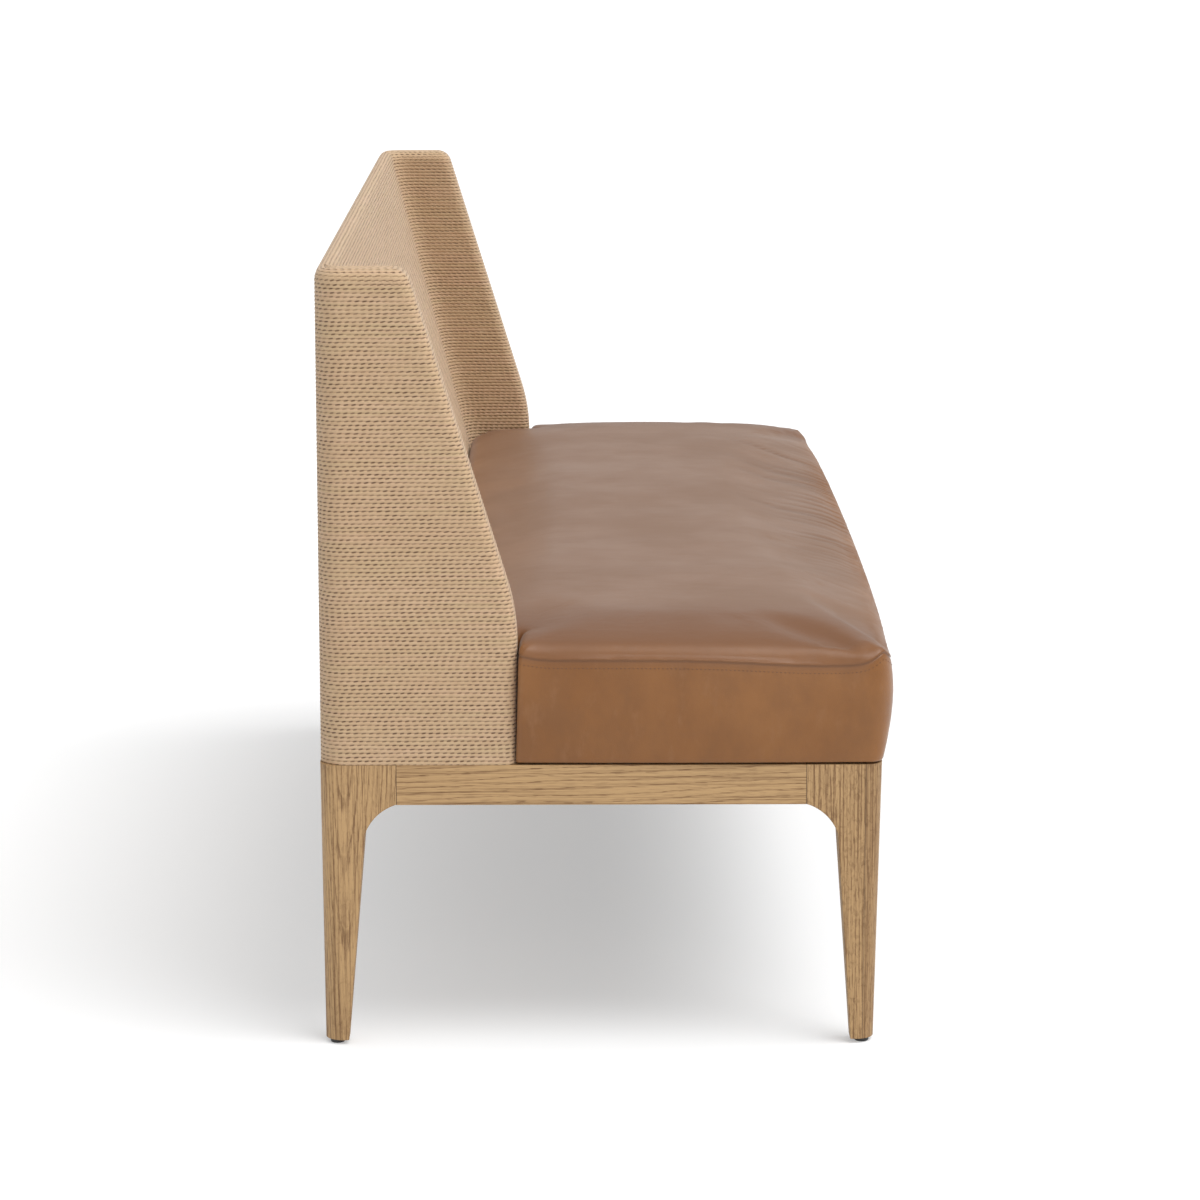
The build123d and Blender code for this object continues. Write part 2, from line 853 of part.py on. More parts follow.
def rows_on_flat(outer_x, inward):
    """Cord rows stacked up one flat side of the wing, running front to back."""
    path = Line((0, frame_top), (0, back_top))
    rows = ridged_edge(path, -inward)
    foot = Line((inward * cord_diameter, frame_top), rows[0] @ 0)
    head = Line(rows[-1] @ 1, (inward * cord_diameter, back_top))
    inside = Line((inward * cord_diameter, back_top), (inward * cord_diameter, frame_top))
    section = make_face([foot, *rows, head, inside])
    plane = Plane(origin=(outer_x, rear_y, 0), x_dir=(1, 0, 0), z_dir=(0, -1, 0))
    return extrude(plane * section, wing_bend_depth)


def flat_window():
    """The part of a wing's flat sides that its round edges leave."""
    inset = wing_edge_radius - wood_clearance / 2
    window = across(wing_outline(inset), -end_x - overrun, -wing_inner_x + overrun)
    return window - block(
        (-frame_length, y_at(wing_rear_radius), 0), (frame_length, rear_y + overrun, back_top + overrun)
    )


def back_space():
    """The room of the back itself, continued into the wing's inner cord."""
    return across(closed_back_outline(0), -wing_inner_x - cord_diameter, 0)


def wing_edge_cord():
    """The cord that turns round the wing's front edge, top and rear corner."""
    layer = wing_body(0) - wing_body(cord_diameter)
    layer -= flat_window()
    return layer - back_space()


def wing_outer_cord():
    """The cord rows on the wing's outer side."""
    return rows_on_flat(-end_x, 1) & flat_window()


def wing_inner_cord():
    """The cord rows on the wing's inner side, in front of the raked face."""
    rows = rows_on_flat(-wing_inner_x, -1) & flat_window()
    return rows - back_space()


def wing_core():
    """The wing's wooden inside, in front of the corner post."""
    body = wing_body(cord_diameter)
    return body - block((-frame_length, y_at(corner_post_depth), 0), (frame_length, frame_depth, back_top))


def wing_panel_outer():
    """The plywood panel on the wing's outer side."""
    high_x = -end_x + cord_diameter + panel_thickness
    return wing_core() & block((-frame_length, -frame_depth, 0), (high_x, frame_depth, back_top))


def wing_panel_inner():
    """The plywood panel on the wing's inner side."""
    low_x = -wing_inner_x - cord_diameter - panel_thickness
    return wing_core() & block((low_x, -frame_depth, 0), (0, frame_depth, back_top))


def wing_filling():
    """The space between the wing's two panels, solid."""
    low_x = -end_x + cord_diameter + panel_thickness
    high_x = -wing_inner_x - cord_diameter - panel_thickness
    return wing_core() & block((low_x, -frame_depth, 0), (high_x, frame_depth, back_top))


def wing_hollow():
    """The empty middle of the wing, from the corner post to the stile and up to the top rail."""
    middle = across(wing_outline(cord_diameter + wing_stile_width), -frame_length, 0)
    front_y_of_post = y_at(corner_post_depth + wing_stile_width / 2)
    return middle + block((-frame_length, front_y_of_post, 0), (0, frame_depth, wing_top_rail_bottom()))


def wing_bottom_rail():
    """The rail at the wing's foot, with the sleeve that takes its bolt."""
    rail = wing_filling() & block(
        (-frame_length, -frame_depth, 0), (0, frame_depth, frame_top + wing_rail_height)
    )
    return rail - sleeve_hole(-end_x + back_bolt_line(), wing_bolt_y())


def wing_top_rail_bottom():
    """Height where the wing's stile ends and its top rail begins."""
    return back_top - cord_diameter - wing_stile_width


def wing_stile():
    """The stile behind the wing's front edge, bent as that edge is."""
    ring = wing_filling() - wing_hollow()
    low = (-frame_length, -frame_depth, frame_top + wing_rail_height)
    return ring & block(low, (0, frame_depth, wing_top_rail_bottom()))


def wing_top_rail():
    """The rail under the wing's top, from the corner post to the front edge."""
    low = (-frame_length, -frame_depth, wing_top_rail_bottom())
    return wing_filling() & block(low, (0, frame_depth, back_top))


def corner_post():
    """The post in the rear corner, between the back and the wing."""
    body = wing_body(cord_diameter)
    return body & block((-frame_length, y_at(corner_post_depth), 0), (0, frame_depth, back_top))


# Bolts that hold the back down


def back_bolt_places():
    """X of the bolts through the rear apron."""
    first = -end_x + back_bolt_end_inset
    spacing = 2 * (end_x - back_bolt_end_inset) / (back_bolt_count - 1)
    return [first + spacing * number for number in range(back_bolt_count)]


def back_bolt_line():
    """How far in from an apron's outer face its bolts stand."""
    return apron_thickness - back_bolt_inner_inset


def wing_bolt_y():
    """Y of the bolt through an end apron into the wing's foot."""
    return y_at((corner_post_depth + wing_foot_depth) / 2)


def back_bolt_hole(x, y):
    """The bolt's clearance hole, with a recess from below for its head."""
    low = apron_bottom - overrun
    hole = rod((x, y, low), (0, 0, 1), back_bolt_radius + bolt_clearance, apron_height + 2 * overrun)
    recess = rod((x, y, low), (0, 0, 1), back_bolt_head_radius + bolt_clearance, back_bolt_recess + overrun)
    return hole + recess


def back_bolt(x, y):
    """A bolt from below, with its head up in the apron."""
    head_top = apron_bottom + back_bolt_recess
    head = rod((x, y, head_top), (0, 0, -1), back_bolt_head_radius, back_bolt_head_height)
    shank = rod((x, y, head_top), (0, 0, 1), back_bolt_radius, frame_top + back_bolt_bite - head_top)
    return head + shank


def sleeve_hole(x, y):
    """The hole for a threaded sleeve and the end of its bolt."""
    hole = rod((x, y, frame_top - overrun), (0, 0, 1), sleeve_radius, sleeve_length + overrun)
    tip_length = back_bolt_bite + tenon_end_gap
    return hole + rod((x, y, frame_top), (0, 0, 1), back_bolt_radius + bolt_clearance, tip_length)


def sleeve(x, y):
    """A threaded steel sleeve, let into a rail from below."""
    body = rod((x, y, frame_top), (0, 0, 1), sleeve_radius, sleeve_length)
    return body - rod((x, y, frame_top), (0, 0, 1), back_bolt_radius + bolt_clearance, sleeve_length)


def all_back_bolt_places():
    """X and Y of every bolt between the frame and the back."""
    rear = [(x, y_at(back_bolt_line())) for x in back_bolt_places()]
    wing_x = end_x - back_bolt_line()
    return rear + [(-wing_x, wing_bolt_y()), (wing_x, wing_bolt_y())]


# The frame's nodes
front_leg = leg(front_setback)
rear_leg = mirrored_front(leg(rear_setback))
write("leg_front_left", front_leg)
write("leg_front_right", mirrored_end(front_leg))
write("leg_rear_left", rear_leg)
write("leg_rear_right", mirrored_end(rear_leg))

front_glide = glide(front_setback)
rear_glide = mirrored_front(glide(rear_setback))
write("glides", front_glide, mirrored_end(front_glide), rear_glide, mirrored_end(rear_glide))

write("apron_front", front_apron())
write("apron_rear", rear_apron())
write("apron_left", left_apron())
write("apron_right", mirrored_end(left_apron()))

front_block = corner_block("front")
rear_block = mirrored_front(corner_block("rear"))
write("corner_block_front_left", front_block)
write("corner_block_front_right", mirrored_end(front_block))
write("corner_block_rear_left", rear_block)
write("corner_block_rear_right", mirrored_end(rear_block))
write("hanger_bolts", *corner_copies(hanger_bolt()))
write("hanger_washers", *corner_copies(hanger_washer()))
write("hanger_nuts", *corner_copies(hanger_nut()))
write("corner_block_screws", *[copy for screw in block_screws() for copy in corner_copies(screw)])

for number, x in enumerate(cross_rail_places(), start=1):
    write(f"cross_rail_{number}", cross_rail(x))

# The seat's nodes
whole_cushion = cushion_body(0)
filling = cushion_body(leather_thickness)
cover = whole_cushion - filling
write("seat_cover_top", cover & seam_split())
write("seat_cover_boxing", cover - seam_split() - dust_cover_opening(0))
write("seat_foam", filling - board_level())
write("seat_board", seat_board(filling))
write("seat_dust_cover", dust_cover())
write("seat_screws", *[seat_screw(x, y) for x, y in seat_screw_places()])

# The back's nodes
write("back_rear_panel", back_rear_panel())
write("back_inner_panel", back_inner_panel())
write("back_top_rail", back_top_rail())
write("back_bottom_rail", back_bottom_rail())
for number, x in enumerate(rib_places(), start=1):
    write(f"back_rib_{number}", back_rib(x))
write("back_cord", back_cord())
write("back_bolts", *[back_bolt(x, y) for x, y in all_back_bolt_places()])
write("back_bolt_sleeves", *[sleeve(x, y) for x, y in all_back_bolt_places()])

# The wings' nodes
wing_pieces = {
    "corner_post": corner_post(),
    "wing_outer_panel": wing_panel_outer(),
    "wing_inner_panel": wing_panel_inner(),
    "wing_stile": wing_stile(),
    "wing_top_rail": wing_top_rail(),
    "wing_bottom_rail": wing_bottom_rail(),
    "wing_outer_cord": wing_outer_cord(),
    "wing_inner_cord": wing_inner_cord(),
    "wing_edge_cord": wing_edge_cord(),
}
for name, piece in wing_pieces.items():
    write(f"{name}_left", piece)
    write(f"{name}_right", mirrored_end(piece))
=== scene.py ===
import math

import bpy
import numpy as np
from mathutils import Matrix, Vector
from mathutils.kdtree import KDTree


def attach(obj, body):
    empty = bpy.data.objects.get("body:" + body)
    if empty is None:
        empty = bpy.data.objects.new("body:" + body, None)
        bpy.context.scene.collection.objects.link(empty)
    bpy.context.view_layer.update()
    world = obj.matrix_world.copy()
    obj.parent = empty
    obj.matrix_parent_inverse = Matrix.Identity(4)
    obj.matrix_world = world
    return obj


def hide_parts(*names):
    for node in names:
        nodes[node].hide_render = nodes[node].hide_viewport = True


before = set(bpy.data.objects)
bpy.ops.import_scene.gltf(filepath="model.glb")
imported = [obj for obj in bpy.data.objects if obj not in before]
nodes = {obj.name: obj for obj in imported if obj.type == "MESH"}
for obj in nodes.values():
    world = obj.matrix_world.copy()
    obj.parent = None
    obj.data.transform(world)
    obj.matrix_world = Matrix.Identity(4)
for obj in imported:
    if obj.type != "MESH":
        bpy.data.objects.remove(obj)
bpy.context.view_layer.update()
bpy.ops.object.select_all(action="DESELECT")

# Sizes of the bench in metres, as the frame has them
rear_y = 0.320
front_y = -0.300
end_x = 0.800
frame_top = 0.320
back_top = 0.866
top_depth = 0.018
wing_thickness = 0.050
wing_inner_x = end_x - wing_thickness
ridge_radius = 0.010162
rake = math.radians(14.7)
rake_slope = math.tan(rake)
edge_radius = 0.012
rear_radius = 0.030
inside_radius = 0.020

# The cord's rows: those on the straight faces, and those that turn over the top
straight_rows = 119
round_rows = 4

# The cushion: its lowest line, its seam, and how it stands round the frame and the wings
foot_height = 0.3225
seam_height = 0.438
front_overhang = 0.012
end_overhang = 0.008
tab_y = 0.0995
notch_x = 0.748
front_corner_radius = 0.036


# Shader node helpers


def add_node(tree, kind, **settings):
    """Adds a shader node with the given settings."""
    new = tree.nodes.new(kind)
    for key, value in settings.items():
        setattr(new, key, value)
    return new


def join(tree, source, target):
    """Links an output socket to an input socket."""
    tree.links.new(source, target)


def math_node(tree, operation, first, second=None, clamp=False):
    """A Math node whose inputs are sockets or numbers; gives its output socket."""
    new = add_node(tree, "ShaderNodeMath", operation=operation, use_clamp=clamp)
    for index, value in enumerate((first, second)):
        if value is None:
            continue
        if isinstance(value, (int, float)):
            new.inputs[index].default_value = value
        else:
            join(tree, value, new.inputs[index])
    return new.outputs[0]


def plus(tree, first, second, clamp=False):
    """The sum of two sockets or numbers."""
    return math_node(tree, "ADD", first, second, clamp)


def minus(tree, first, second):
    """The first socket or number less the second."""
    return math_node(tree, "SUBTRACT", first, second)


def times(tree, first, second):
    """The product of two sockets or numbers."""
    return math_node(tree, "MULTIPLY", first, second)


def absolute(tree, value):
    """A value without its sign."""
    return math_node(tree, "ABSOLUTE", value)


def split(tree, vector):
    """A Separate XYZ node; gives its three sockets."""
    new = add_node(tree, "ShaderNodeSeparateXYZ")
    join(tree, vector, new.inputs[0])
    return new.outputs


def mix_colour(tree, factor, first, second):
    """A colour Mix node whose inputs are sockets, numbers or colours; gives its output socket."""
    new = add_node(tree, "ShaderNodeMix", data_type="RGBA", blend_type="MIX")
    for index, value in ((0, factor), (6, first), (7, second)):
        if isinstance(value, (int, float)):
            new.inputs[index].default_value = value
        elif isinstance(value, (tuple, list)):
            new.inputs[index].default_value = (*value[:3], 1)
        else:
            join(tree, value, new.inputs[index])
    return new.outputs[2]


def smooth_range(tree, value, low, high, low_out=0.0, high_out=1.0):
    """A smooth step of a value from one range to another; gives its output socket."""
    new = add_node(tree, "ShaderNodeMapRange", interpolation_type="SMOOTHSTEP")
    join(tree, value, new.inputs["Value"])
    new.inputs["From Min"].default_value = low
    new.inputs["From Max"].default_value = high
    new.inputs["To Min"].default_value = low_out
    new.inputs["To Max"].default_value = high_out
    return new.outputs["Result"]


def noise(tree, vector, scale, detail=3.0, roughness=0.55, distortion=0.0):
    """A Noise texture on a vector; gives its value socket."""
    new = add_node(tree, "ShaderNodeTexNoise")
    join(tree, vector, new.inputs["Vector"])
    new.inputs["Scale"].default_value = scale
    new.inputs["Detail"].default_value = detail
    new.inputs["Roughness"].default_value = roughness
    new.inputs["Distortion"].default_value = distortion
    return new.outputs[0]


def stretched(tree, vector, scale, location=(0, 0, 0), rotation=(0, 0, 0)):
    """A Mapping node that scales, moves or turns a pattern; gives its vector socket."""
    new = add_node(tree, "ShaderNodeMapping")
    join(tree, vector, new.inputs["Vector"])
    new.inputs["Scale"].default_value = scale
    new.inputs["Location"].default_value = location
    new.inputs["Rotation"].default_value = rotation
    return new.outputs[0]


def stretched_noise(tree, vector, scale, detail, roughness=0.55, distortion=0.0, location=(0, 0, 0)):
    """A Noise texture with a scale of its own along each axis; gives its value socket."""
    return noise(tree, stretched(tree, vector, scale, location), 1.0, detail, roughness, distortion)


def new_group(name, inputs, outputs):
    """A shader node group with named sockets; gives the group, its input node and its output node."""
    group = bpy.data.node_groups.new(name, "ShaderNodeTree")
    for socket_name, kind, value in inputs:
        socket = group.interface.new_socket(socket_name, in_out="INPUT", socket_type="NodeSocket" + kind)
        if value is not None:
            socket.default_value = value
    for socket_name, kind in outputs:
        group.interface.new_socket(socket_name, in_out="OUTPUT", socket_type="NodeSocket" + kind)
    return group, group.nodes.new("NodeGroupInput"), group.nodes.new("NodeGroupOutput")


def new_material(name, roughness=0.5):
    """A material with one Principled shader; gives the material, its tree and the shader."""
    made = bpy.data.materials.new(name)
    made.use_nodes = True
    tree = made.node_tree
    shader = tree.nodes["Principled BSDF"]
    shader.inputs["Roughness"].default_value = roughness
    return made, tree, shader


def object_place(tree):
    """The socket of the Object coordinates."""
    return add_node(tree, "ShaderNodeTexCoord").outputs["Object"]


def bump(tree, height, strength, distance):
    """A Bump node; gives its normal socket."""
    new = add_node(tree, "ShaderNodeBump")
    join(tree, height, new.inputs["Height"])
    new.inputs["Strength"].default_value = strength
    new.inputs["Distance"].default_value = distance
    return new.outputs[0]


# Meshes


def new_object(name, mesh, material):
    """An object with this mesh and material, in the scene."""
    made = bpy.data.objects.new(name, mesh)
    bpy.context.scene.collection.objects.link(made)
    made.data.materials.append(material)
    return made


def vertex_places(mesh):
    """The places of a mesh's vertices, one row each."""
    flat = np.empty(len(mesh.vertices) * 3)
    mesh.vertices.foreach_get("co", flat)
    return flat.reshape(-1, 3)


def raked_depth(height):
    """How deep the back is at a height, from its rear face to its raked face."""
    return top_depth + (back_top - height) * rake_slope


# Oak


def oak_grain_group():
    """Growth rings, fibres, open pores and flecks of oak, with the grain along the vector's X, in metres."""
    group, start, end = new_group(
        "oak_grain",
        [("Vector", "Vector", None), ("Light", "Color", (1, 1, 1, 1)), ("Dark", "Color", (0, 0, 0, 1)),
         ("Ring Width", "Float", 0.004), ("Heart", "Vector", (0, 0, 0)), ("Flame", "Float", 0.01),
         ("Taper", "Float", 0.045), ("Fleck", "Float", 0.0)],
        [("Color", "Color"), ("Height", "Float"), ("Roughness", "Float")],
    )
    vector = start.outputs["Vector"]
    slow = stretched_noise(group, vector, (2.4, 14, 14), 2.0)
    sway = times(group, minus(group, slow, 0.5), start.outputs["Flame"])
    away = add_node(group, "ShaderNodeVectorMath", operation="SUBTRACT")
    join(group, vector, away.inputs[0])
    join(group, start.outputs["Heart"], away.inputs[1])
    length, width, depth = split(group, away.outputs[0])
    squares = [math_node(group, "POWER", absolute(group, side), 2.0) for side in (width, depth)]
    radius = math_node(group, "SQRT", plus(group, *squares))
    radius = plus(group, plus(group, radius, times(group, length, start.outputs["Taper"])), sway)
    ring = math_node(group, "FRACT", math_node(group, "DIVIDE", radius, start.outputs["Ring Width"]))
    early = times(group, smooth_range(group, ring, 0.12, 0.42, 1.0, 0.0), smooth_range(group, ring, 0.0, 0.10))
    late = smooth_range(group, ring, 0.45, 1.0)
    fibres = stretched_noise(group, vector, (16, 620, 620), 3.0, 0.6)
    streaks = stretched_noise(group, vector, (2.6, 400, 400), 2.0, 0.5, location=(1, 5, 3))
    streaks = smooth_range(group, streaks, 0.49, 0.63)
    broad = stretched_noise(group, vector, (3, 38, 38), 2.0, 0.5)
    pores = stretched_noise(group, vector, (55, 1150, 1150), 1.0, 0.4, location=(3, 1, 2))
    pores = times(group, smooth_range(group, pores, 0.53, 0.62), plus(group, times(group, early, 0.75), 0.35))
    flecks = stretched_noise(group, vector, (150, 260, 260), 3.0, 0.6, 0.6, (7, 2, 4))
    flecks = times(group, smooth_range(group, flecks, 0.46, 0.66), start.outputs["Fleck"])
    tone = plus(group, times(group, early, 0.42), times(group, late, 0.14))
    tone = plus(group, tone, times(group, minus(group, fibres, 0.5), 0.75))
    tone = plus(group, tone, times(group, minus(group, broad, 0.5), 0.8))
    tone = plus(group, tone, times(group, streaks, 0.50))
    tone = plus(group, tone, flecks)
    tone = plus(group, tone, times(group, pores, 0.80), clamp=True)
    join(group, mix_colour(group, tone, start.outputs["Light"], start.outputs["Dark"]), end.inputs["Color"])
    join(group, minus(group, times(group, fibres, 0.3), pores), end.inputs["Height"])
    join(group, plus(group, times(group, tone, 0.12), 0.5), end.inputs["Roughness"])
    return group


def oak_finish(name, group, rotation, heart, ring, flame, taper, fleck=0.0, joint=None, facet=None):
    """Matt oak for one piece, with its grain turned along that piece.

    A joint is an axis and the two places on it where a dark joint line runs; a facet is the depth where the
    leg's bevelled side starts. That side is painted darker, as painted shade, with a dark line along its edge."""
    made, tree, shader = new_material(name)
    place = object_place(tree)
    light, dark = (0.516, 0.321, 0.145, 1), (0.205, 0.106, 0.040, 1)
    grain = add_node(tree, "ShaderNodeGroup")
    grain.node_tree = group
    join(tree, stretched(tree, place, (1, 1, 1), rotation=rotation), grain.inputs["Vector"])
    for socket, value in (("Light", light), ("Dark", dark), ("Ring Width", ring), ("Heart", heart),
                          ("Flame", flame), ("Taper", taper), ("Fleck", fleck)):
        grain.inputs[socket].default_value = value
    colour = grain.outputs["Color"]
    if joint is not None:
        axis, *ends = joint
        across = split(tree, place)[axis]
        gaps = [absolute(tree, minus(tree, across, end)) for end in ends]
        line = smooth_range(tree, math_node(tree, "MINIMUM", *gaps), 0.0003, 0.0013, 0.85, 0.0)
        colour = mix_colour(tree, line, colour, (0.055, 0.028, 0.012))
    if facet is not None:
        # painted shade: the bevelled side painted darker, and a dark line along its edge
        past = minus(tree, facet, split(tree, place)[1])
        shade = smooth_range(tree, past, -0.0004, 0.0006, 0.0, 0.28)
        colour = mix_colour(tree, shade, colour, (0.17, 0.085, 0.032))
        line = smooth_range(tree, absolute(tree, past), 0.0002, 0.0010, 0.45, 0.0)
        colour = mix_colour(tree, line, colour, (0.06, 0.03, 0.013))
    join(tree, colour, shader.inputs["Base Color"])
    join(tree, grain.outputs["Roughness"], shader.inputs["Roughness"])
    join(tree, bump(tree, grain.outputs["Height"], 0.35, 0.0004), shader.inputs["Normal"])
    return made


# Cord


def cord_finish():
    """Twisted paper cord: its plies, and a row of dark dashes, painted shade in the gaps where two rows touch, from the
    piece's own row map.
    """
    made, tree, shader = new_material("paper_cord_natural", 0.72)
    dash_pitch, ply_pitch = 0.0080, 0.0040
    rows = add_node(tree, "ShaderNodeUVMap", uv_map="rows")
    along, across = split(tree, rows.outputs[0])[:2]
    line = math_node(tree, "ROUND", across)
    off = minus(tree, across, line)
    chance = add_node(tree, "ShaderNodeTexWhiteNoise", noise_dimensions="1D")
    join(tree, line, chance.inputs["W"])

    def spread(along_scale, across_scale, value, detail=2.0):
        """Noise with one scale along the rows and one across them."""
        place = add_node(tree, "ShaderNodeCombineXYZ")
        join(tree, times(tree, along, along_scale), place.inputs[0])
        join(tree, times(tree, value, across_scale), place.inputs[1])
        return noise(tree, place.outputs[0], 1.0, detail)

    # the dashes: painted shade in the gaps where two rows touch
    drift = times(tree, spread(9.0, 5.3, line), 2.2)
    turns = plus(tree, math_node(tree, "DIVIDE", along, dash_pitch), chance.outputs["Value"])
    from_middle = minus(tree, math_node(tree, "FRACT", plus(tree, turns, drift)), 0.5)
    tilted = minus(tree, off, times(tree, from_middle, 0.30))
    from_middle = absolute(tree, from_middle)
    dash = smooth_range(tree, from_middle, 0.20, 0.38, 1.0, 0.0)
    narrow = plus(tree, absolute(tree, tilted), times(tree, from_middle, 0.14))
    in_gap = smooth_range(tree, narrow, 0.12, 0.29, 1.0, 0.0)
    strength = smooth_range(tree, spread(30.0, 7.31, line, 3.0), 0.32, 0.64, 0.38, 1.0)
    deep = times(tree, times(tree, dash, in_gap), strength)
    # a faint painted shade along the groove between each two rows
    soft = times(tree, smooth_range(tree, absolute(tree, off), 0.0, 0.2, 1.0, 0.0), 0.06)
    dark = math_node(tree, "MAXIMUM", times(tree, deep, 0.92), soft)

    # the cord between them
    tint = smooth_range(tree, spread(6.0, 0.9, line), 0.3, 0.7)
    patch = smooth_range(tree, spread(2.2, 0.05, across), 0.35, 0.7, 0.0, 0.5)
    speckle = smooth_range(tree, spread(70.0, 0.8, across, 3.0), 0.40, 0.64, 0.0, 0.5)
    fibre = spread(900.0, 9.0, across)
    body = mix_colour(tree, tint, (0.640, 0.440, 0.285), (0.585, 0.425, 0.250))
    body = mix_colour(tree, speckle, body, (0.520, 0.345, 0.205))
    body = mix_colour(tree, patch, body, (0.56, 0.375, 0.225))
    body = mix_colour(tree, times(tree, fibre, 0.25), body, (0.46, 0.32, 0.19))
    # the cord's colour, darkened by the painted shade of the dashes and grooves
    join(tree, mix_colour(tree, dark, body, (0.150, 0.076, 0.037)), shader.inputs["Base Color"])

    # the plies
    ply = minus(tree, math_node(tree, "DIVIDE", along, ply_pitch), times(tree, across, 0.9))
    ply = math_node(tree, "FRACT", ply)
    ply = times(tree, times(tree, ply, minus(tree, 1.0, ply)), 4.0)
    height = plus(tree, times(tree, ply, 0.55), times(tree, fibre, 0.2))
    height = minus(tree, height, times(tree, deep, 1.2))
    join(tree, bump(tree, height, 0.55, 0.0006), shader.inputs["Normal"])
    shader.inputs["Specular IOR Level"].default_value = 0.25
    shader.inputs["Sheen Weight"].default_value = 0.22
    shader.inputs["Sheen Roughness"].default_value = 0.5
    return made


def surface_normals(grid):
    """Normals of a grid of points, from its neighbours along and across."""
    along = np.gradient(grid, axis=1)
    across = np.gradient(grid, axis=0)
    normal = np.cross(along, across)
    length = np.linalg.norm(normal, axis=2, keepdims=True)
    return normal / np.maximum(length, 1e-12)


def cord_rows(name, grid, material, side=1.0, seed=1, facing=None):
    """Rows of cord side by side over a grid of points: one closed half-round strand between each two lines."""
    count_rows, count_along = grid.shape[0] - 1, grid.shape[1]
    if facing is None:
        normal = surface_normals(grid) * side
    else:
        normal = np.broadcast_to(np.array(facing, dtype=float), grid.shape)
    steps = np.linalg.norm(np.diff(grid, axis=1), axis=2)
    run = np.concatenate([np.zeros((grid.shape[0], 1)), np.cumsum(steps, axis=1)], axis=1)
    across = np.gradient(grid, axis=0)
    across /= np.maximum(np.linalg.norm(across, axis=2, keepdims=True), 1e-12)

    # the lines between the rows sway a little, apart from the first and the last, and not at the rows' ends
    random = np.random.RandomState(seed)
    fade = np.clip(np.minimum(run, run[:, -1:] - run) / 0.03, 0, 1)
    sway = np.zeros_like(run)
    for length, size in ((0.19, 0.00022), (0.083, 0.00016), (0.037, 0.00010)):
        phase = random.uniform(0, 2 * math.pi, (grid.shape[0], 1))
        sway += size * np.sin(run * 2 * math.pi / length + phase)
    sway[0] = sway[-1] = 0
    grid = grid + across * (sway * fade)[..., None]

    # a strand's section: how far across the row, and how far below the crown
    crown, sole = 0.00100, 0.0036
    turns = [math.radians(a) for a in (-80, -58, -36, -12, 12, 36, 58, 80)]
    section = [(0.5 + 0.5 * math.sin(t) / math.sin(turns[-1]), crown * (1 - math.cos(t))) for t in turns]
    section += [(1.0, sole), (0.0, sole)]
    around = len(section)
    points, faces, maps = [], [], []
    for row in range(count_rows):
        low, high = grid[row], grid[row + 1]
        out = normal[row] + normal[row + 1]
        out /= np.maximum(np.linalg.norm(out, axis=1, keepdims=True), 1e-12)
        length = (run[row] + run[row + 1]) / 2
        ring = [low * (1 - a) + high * a - out * sink for a, sink in section]
        points.append(np.stack(ring, axis=1).reshape(-1, 3))
        start = row * count_along * around
        for j in range(count_along - 1):
            u0, u1 = length[j], length[j + 1]
            for c in range(around):
                d = (c + 1) % around
                a0, a1 = start + j * around + c, start + j * around + d
                b0, b1 = a0 + around, a1 + around
                shares = (section[c][0], section[d][0]) if c < len(turns) - 1 else (0.5, 0.5)
                v0, v1 = (row + 0.001 + share * 0.998 for share in shares)
                if side > 0:
                    faces.append((a0, b0, b1, a1))
                    maps.append(((u0, v0), (u1, v0), (u1, v1), (u0, v1)))
                else:
                    faces.append((a0, a1, b1, b0))
                    maps.append(((u0, v0), (u0, v1), (u1, v1), (u1, v0)))
        first = tuple(range(start, start + around))
        last = tuple(index + (count_along - 1) * around for index in first)
        faces += [first, last[::-1]] if side > 0 else [first[::-1], last]
        maps += [((0.0, row + 0.5),) * around] * 2
    mesh = bpy.data.meshes.new(name)
    mesh.from_pydata(np.concatenate(points).tolist(), [], faces)
    layer = mesh.uv_layers.new(name="rows")
    layer.data.foreach_set("uv", [value for face in maps for corner in face for value in corner])
    mesh.update()
    made = new_object(name, mesh, material)
    bpy.context.view_layer.objects.active = made
    made.select_set(True)
    bpy.ops.object.shade_smooth_by_angle(angle=math.radians(50))
    bpy.ops.object.select_all(action="DESELECT")
    return made


def front_profile(inset):
    """Depth and height of the wing's front edge from its foot to its top, in by the inset."""
    places = ((0.216, 0.300), (0.2185, 0.486), (0.0998, 0.866), (-0.05, 0.866))
    foot, bend, top, beyond = (np.array(place) for place in places)
    foot_normal = np.array((0.186, -0.0025)) / math.hypot(0.186, 0.0025)
    points = [tuple(foot - foot_normal * inset)]
    for before, corner, after, radius in ((foot, bend, top, 0.230), (bend, top, beyond, 0.020)):
        into = (before - corner) / np.linalg.norm(before - corner)
        away = (after - corner) / np.linalg.norm(after - corner)
        half = math.acos(float(into @ away)) / 2
        reach = radius / math.tan(half)
        middle = (into + away) / np.linalg.norm(into + away)
        centre = corner + middle * radius / math.sin(half)
        start, stop = corner + into * reach, corner + away * reach
        first = math.atan2(*(start - centre)[::-1])
        last = math.atan2(*(stop - centre)[::-1])
        for share in np.linspace(0, 1, 24):
            angle = first + (last - first) * share
            points.append(tuple(centre + (radius - inset) * np.array((math.cos(angle), math.sin(angle)))))
    return np.array(points)


